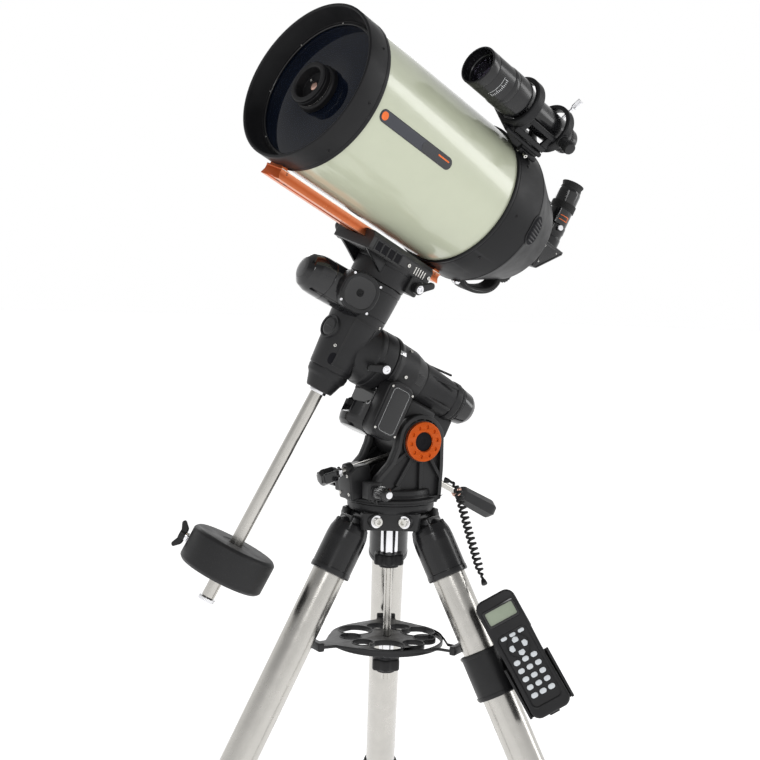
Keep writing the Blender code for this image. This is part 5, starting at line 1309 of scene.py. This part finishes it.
def controller_pieces():
    thick = HANDSET_THICK
    window = rounded_box(47, 23, 3, 5, 0, 64)
    mat = rounded_box(44, 110, 6, 5, 0, -20)
    back = prism(FACE, handset_outline(0), -thick, -thick * 0.46, 5, rounds=5)
    front = prism(FACE, handset_outline(0), -thick * 0.44, 0, 3.6, [window, mat], rounds=5)
    seam = prism(FACE, handset_outline(0.8), -thick * 0.52, -thick * 0.40, 0.4)
    floor_of_keys = prism(FACE, rounded_box(48, 114, 6, 5, 0, -20), -6, -1.8, 0.4)
    bumpers = [brick(FACE @ shift(side * 29.6, y, -thick / 2), (3, 26, 15), 1.3, 1.2)
               for side in (-1, 1) for y in (42, -56)]
    piece("controller_case", "handset", PLASTIC, back, front, seam, floor_of_keys,
          hides=["hand_controller"])
    piece("controller_bumpers", "handset", RUBBER, *bumpers)
    piece("controller_window", "handset", SCREEN,
          prism(FACE, rounded_box(47.2, 23.2, 3, 5, 0, 64), -4, -0.8, 0.2))
    piece("controller_bezel", "handset", GLOSS,
          prism(FACE, rounded_box(51, 27, 4.4, 6, 0, 64), -1, 0.6, 0.5,
                [rounded_box(44, 19.6, 2.4, 6, 0, 64)]))
    keys = []
    for x in (-14, 0, 14):
        keys.append(prism(FACE, rounded_box(9.6, 5.2, 2.4, 5, x, 30), -3, 0.8, 1, rounds=3))
    cluster = FACE @ shift(0, 12, 0)
    for turn in (0, 90, 180, 270):
        arm = cluster @ spin("Z", turn) @ shift(9.8, 0, 0)
        shape = round_corners([(-3.4, -4.2), (2.2, -5), (5.2, 0), (2.2, 5), (-3.4, 4.2)], 1.8, 5)
        keys.append(prism(arm, shape, -3, 1, 1, rounds=3))
    for row in range(5):
        for x in (-13.8, 0, 13.8):
            y = -8.5 - 12.8 * row
            wide = 9.8 if row < 4 else 10.4
            keys.append(prism(FACE, rounded_box(wide, 7.4, 3.5, 6, x, y), -3, 0.9, 1.1, rounds=3))
    piece("controller_keys", "handset", KEYS, *keys, hides=["controller_keypad"])
    piece("controller_cluster_ring", "handset", RUBBER, ring(cluster, 17.8, 16.6, 0.2, -2, 0.4, 80))
    screws("controller_screws", "handset", ZINC,
           *[(FACE @ shift(x, y, -thick + 0.2) @ TURNED_OVER, 2.2, 0.6) for x in (-22, 22)
             for y in (-80, 80)])
    relief = HANDSET @ shift(0, 0, -HANDSET_LONG / 2)
    piece("controller_socket", "handset", RUBBER, brick(relief @ shift(z=-0.4), (16, 12, 4), 3, 1))


def holder_pieces():
    west = LEGS["west"] @ shift(x=LEG_AXIS_OUT)
    clip = ring(west, 31, 25.7, -215, -285, 1.4, 96)
    bands = [ring(west, 31.6, 30, z, z - 5, 1, 96) for z in (-216.5, -278.5)]
    plate = HANDSET @ shift(0, HANDSET_THICK / 2 + 3.5, -48)
    shapes = [clip, *bands, prism(plate @ UPRIGHT, rounded_box(72.5, 78, 6, 6), -2.4, 2.4, 1)]
    for side in (-1, 1):
        lip = HANDSET @ shift(side * (HANDSET_WIDE / 2 + 3), 4, -48)
        shapes.append(brick(lip, (4.2, 28, 78), 1.6, 1.2))
        rib = HANDSET @ shift(side * 18, HANDSET_THICK / 2 + 6.8, -48)
        shapes.append(brick(rib, (4, 4, 70), 1.4, 1))
    arm = LEGS["west"] @ shift(47, 10, -256)
    shapes.append(brick(arm, (34, 14, 42), 4, 2))
    piece("holder_moulding", "leg_west", PLASTIC, *shapes, hides=["handset_holder"])
    screws("holder_screws", "leg_west", ZINC,
           *[(west @ shift(z=z) @ spin("Z", 205) @ shift(30.8, 0, 0) @ ALONG_X, 2.6, 1.8)
             for z in (-219, -281)])


# ---------------------------------------------------------------- curly cord

CORD_ROUTE = ((69, -42, 40), (78, -50, 37), (83, -60, 24), (84, -73, -1), (85, -90, -33),
              (86, -108, -64), (85, -126, -89), (83, -139, -102))
CORD_WIDE = 0.004
COIL_R, COIL_PITCH, COIL_STEPS = 5, 8.2, 24
LEAD = 6  # straight cord at each end of the coil
COIL_GROW = 28  # the length over which the coil widens


def coil():
    """The cord's own centreline: straight, then a helix about the route, then straight."""
    line = [TRIPOD @ point for point in smooth(CORD_ROUTE, 60)]
    frames = moving_frames(line)
    reach = [0]
    for a, b in zip(line, line[1:]):
        reach.append(reach[-1] + (b - a).length)
    total = reach[-1]
    turns = (total - 2 * LEAD) / COIL_PITCH
    count = int(turns * COIL_STEPS)
    spots, j = [], 0
    stations = [LEAD * k / 6 for k in range(6)]
    stations += [LEAD + (total - 2 * LEAD) * k / count for k in range(count + 1)]
    stations += [total - LEAD + LEAD * k / 6 for k in range(1, 7)]
    for s in stations:
        while j < len(reach) - 2 and reach[j + 1] < s:
            j += 1
        t = min(max((s - reach[j]) / (reach[j + 1] - reach[j]), 0), 1.0)
        middle = line[j].lerp(line[j + 1], t)
        grow = max(0, min((s - LEAD) / COIL_GROW, (total - LEAD - s) / COIL_GROW, 1.0))
        grow = grow * grow * (3 - 2 * grow)
        turn = 2 * math.pi * (s - LEAD) / COIL_PITCH
        side = frames[j].to_3x3() @ Vector((math.cos(turn), math.sin(turn), 0))
        spots.append(middle + side * COIL_R * grow)
    return spots


def cord_pieces():
    spots = coil()
    section = circle(0, 0, CORD_WIDE / MM / 2, 12)
    rows = [[at @ Vector((x, y, 0)) for x, y in section] for at in moving_frames(spots)]
    cord = piece("curly_cord_coil", "leg_west", RUBBER, skinned(rows), hides=["curly_cord"])
    for name, start, ahead in (("upper", spots[0], spots[3]), ("lower", spots[-1], spots[-4])):
        along = (ahead - start).normalized()
        side = along.orthogonal().normalized()
        at = shift(*start) @ axes(side, along.cross(side), along)
        piece(f"cord_relief_{name}", "leg_west", PLASTIC,
                             lathe(at, [(0, 0), (4.6, 0), (4.4, 3), (3.2, 8), (2.4, 8.6), (0, 8.6)],
                                   32, 0.4))
    spots = [spot * MM for spot in spots]


controller_pieces()
holder_pieces()
cord_pieces()

# ---------------------------------------------------------------- the rest of the CAD

NODE_LOOKS = {"casting": CASTING, "cast_iron": IRON, "black_plastic": PLASTIC, "gloss_black": GLOSS,
              "rubber": RUBBER, "stainless_steel": STEEL["head"], "chrome": CHROME,
              "cream_enamel": ENAMEL, "orange_anodised": ORANGE, "coated_glass": CORRECTOR_TINT_AND_SHADE,
              "mirror": MIRROR, "keypad": KEYS}
SLOTS = {row["node"]: row["material_slot"] for row in frame["record"]["subparts"]}
for node_name, node in frame["nodes"].items():
    if not node.hide_render:
        node.data.materials.clear()
        node.data.materials.append(NODE_LOOKS[SLOTS[node_name]][0])
        node.data.shade_smooth()
        node.data.set_sharp_from_angle(angle=EDGE_ANGLE)

# ---------------------------------------------------------------- studio

FLOOR_REACH = 30000
floor_shape = lathe(shift(), [(0, 0), (1200, 0), (6000, 0), (FLOOR_REACH, 0)], 96, 0)
floor_mesh = bpy.data.meshes.new("floor")
floor_mesh.from_pydata([tuple(c * MM) for c in floor_shape[0]], [], floor_shape[1])
floor_mesh.shade_smooth()
floor = bpy.data.objects.new("floor", floor_mesh)
bpy.context.scene.collection.objects.link(floor)
floor_look = Nodes("pale_floor")
floor_place = floor_look.add("ShaderNodeTexCoord").outputs["Object"]
floor_tone = floor_look.between(floor_look.noise(floor_place, 3.0), 0.0, 1.0)
floor_look.set("Base Color", floor_look.mix(
    floor_tone, (0.93, 0.93, 0.93, 1.0), (0.96, 0.96, 0.96, 1.0)))
floor_look.set("Roughness", 0.7)
floor_look.set("Emission Color", (1.0, 1.0, 1.0, 1.0))
floor_look.set("Emission Strength", 0.66)
floor_mesh.materials.append(floor_look.material)

bpy.context.scene.view_settings.view_transform = "Standard"
world = bpy.data.worlds.new("studio")
bpy.context.scene.world = world
world.use_nodes = True
background = world.node_tree.nodes["Background"]
background.inputs["Color"].default_value = (1.0, 1.0, 1.0, 1.0)
# White round the horizon and dimmer overhead, so that dark surfaces keep their depth.
sky = world.node_tree.nodes.new("ShaderNodeTexCoord")
height = world.node_tree.nodes.new("ShaderNodeSeparateXYZ")
dim = world.node_tree.nodes.new("ShaderNodeMapRange")
world.node_tree.links.new(sky.outputs["Generated"], height.inputs["Vector"])
world.node_tree.links.new(height.outputs["Z"], dim.inputs["Value"])
for key, value in (("From Min", 0.26), ("From Max", 0.60), ("To Min", 1.0), ("To Max", 0.32)):
    dim.inputs[key].default_value = value
world.node_tree.links.new(dim.outputs["Result"], background.inputs["Strength"])


def soft_box(name, spot, aim, wide, high, watts):
    light = bpy.data.lights.new(name, "AREA")
    light.shape, light.size, light.size_y, light.energy = "RECTANGLE", wide, high, watts
    lamp = bpy.data.objects.new(name, light)
    lamp.location = spot
    lamp.rotation_euler = (Vector(aim) - Vector(spot)).to_track_quat("-Z", "Y").to_euler()
    bpy.context.scene.collection.objects.link(lamp)


MIDDLE = (0.0, 0.0, 0.95)
soft_box("key", (-1.6, -2.6, 2.9), MIDDLE, 0.9, 0.9, 17.0)
soft_box("side", (2.6, -1.2, 1.7), MIDDLE, 0.5, 1.8, 11.0)
soft_box("rim", (0.8, 2.4, 2.2), MIDDLE, 1.6, 0.8, 11.0)

# The focal length is for a 36 mm wide sensor.
CAMERA_LENS = 65.217
camera_data = bpy.data.cameras.new("camera")
camera_data.sensor_width = 36.0
camera_data.lens = CAMERA_LENS
camera = bpy.data.objects.new("camera", camera_data)
bpy.context.scene.collection.objects.link(camera)
CAMERA_RIGHT = Vector((0.8643, -0.5022, 0.0283)).normalized()
CAMERA_AHEAD = Vector((0.5028, 0.8608, -0.0792)).normalized()
CAMERA_UP = CAMERA_RIGHT.cross(CAMERA_AHEAD).normalized()
CAMERA_AT = (TRIPOD @ shift(-1068.6, -1787.3, 355.2)
             @ axes(CAMERA_AHEAD.cross(CAMERA_UP), CAMERA_UP, -CAMERA_AHEAD))
CAMERA_AT.translation *= MM
camera.matrix_world = CAMERA_AT
bpy.context.scene.camera = camera
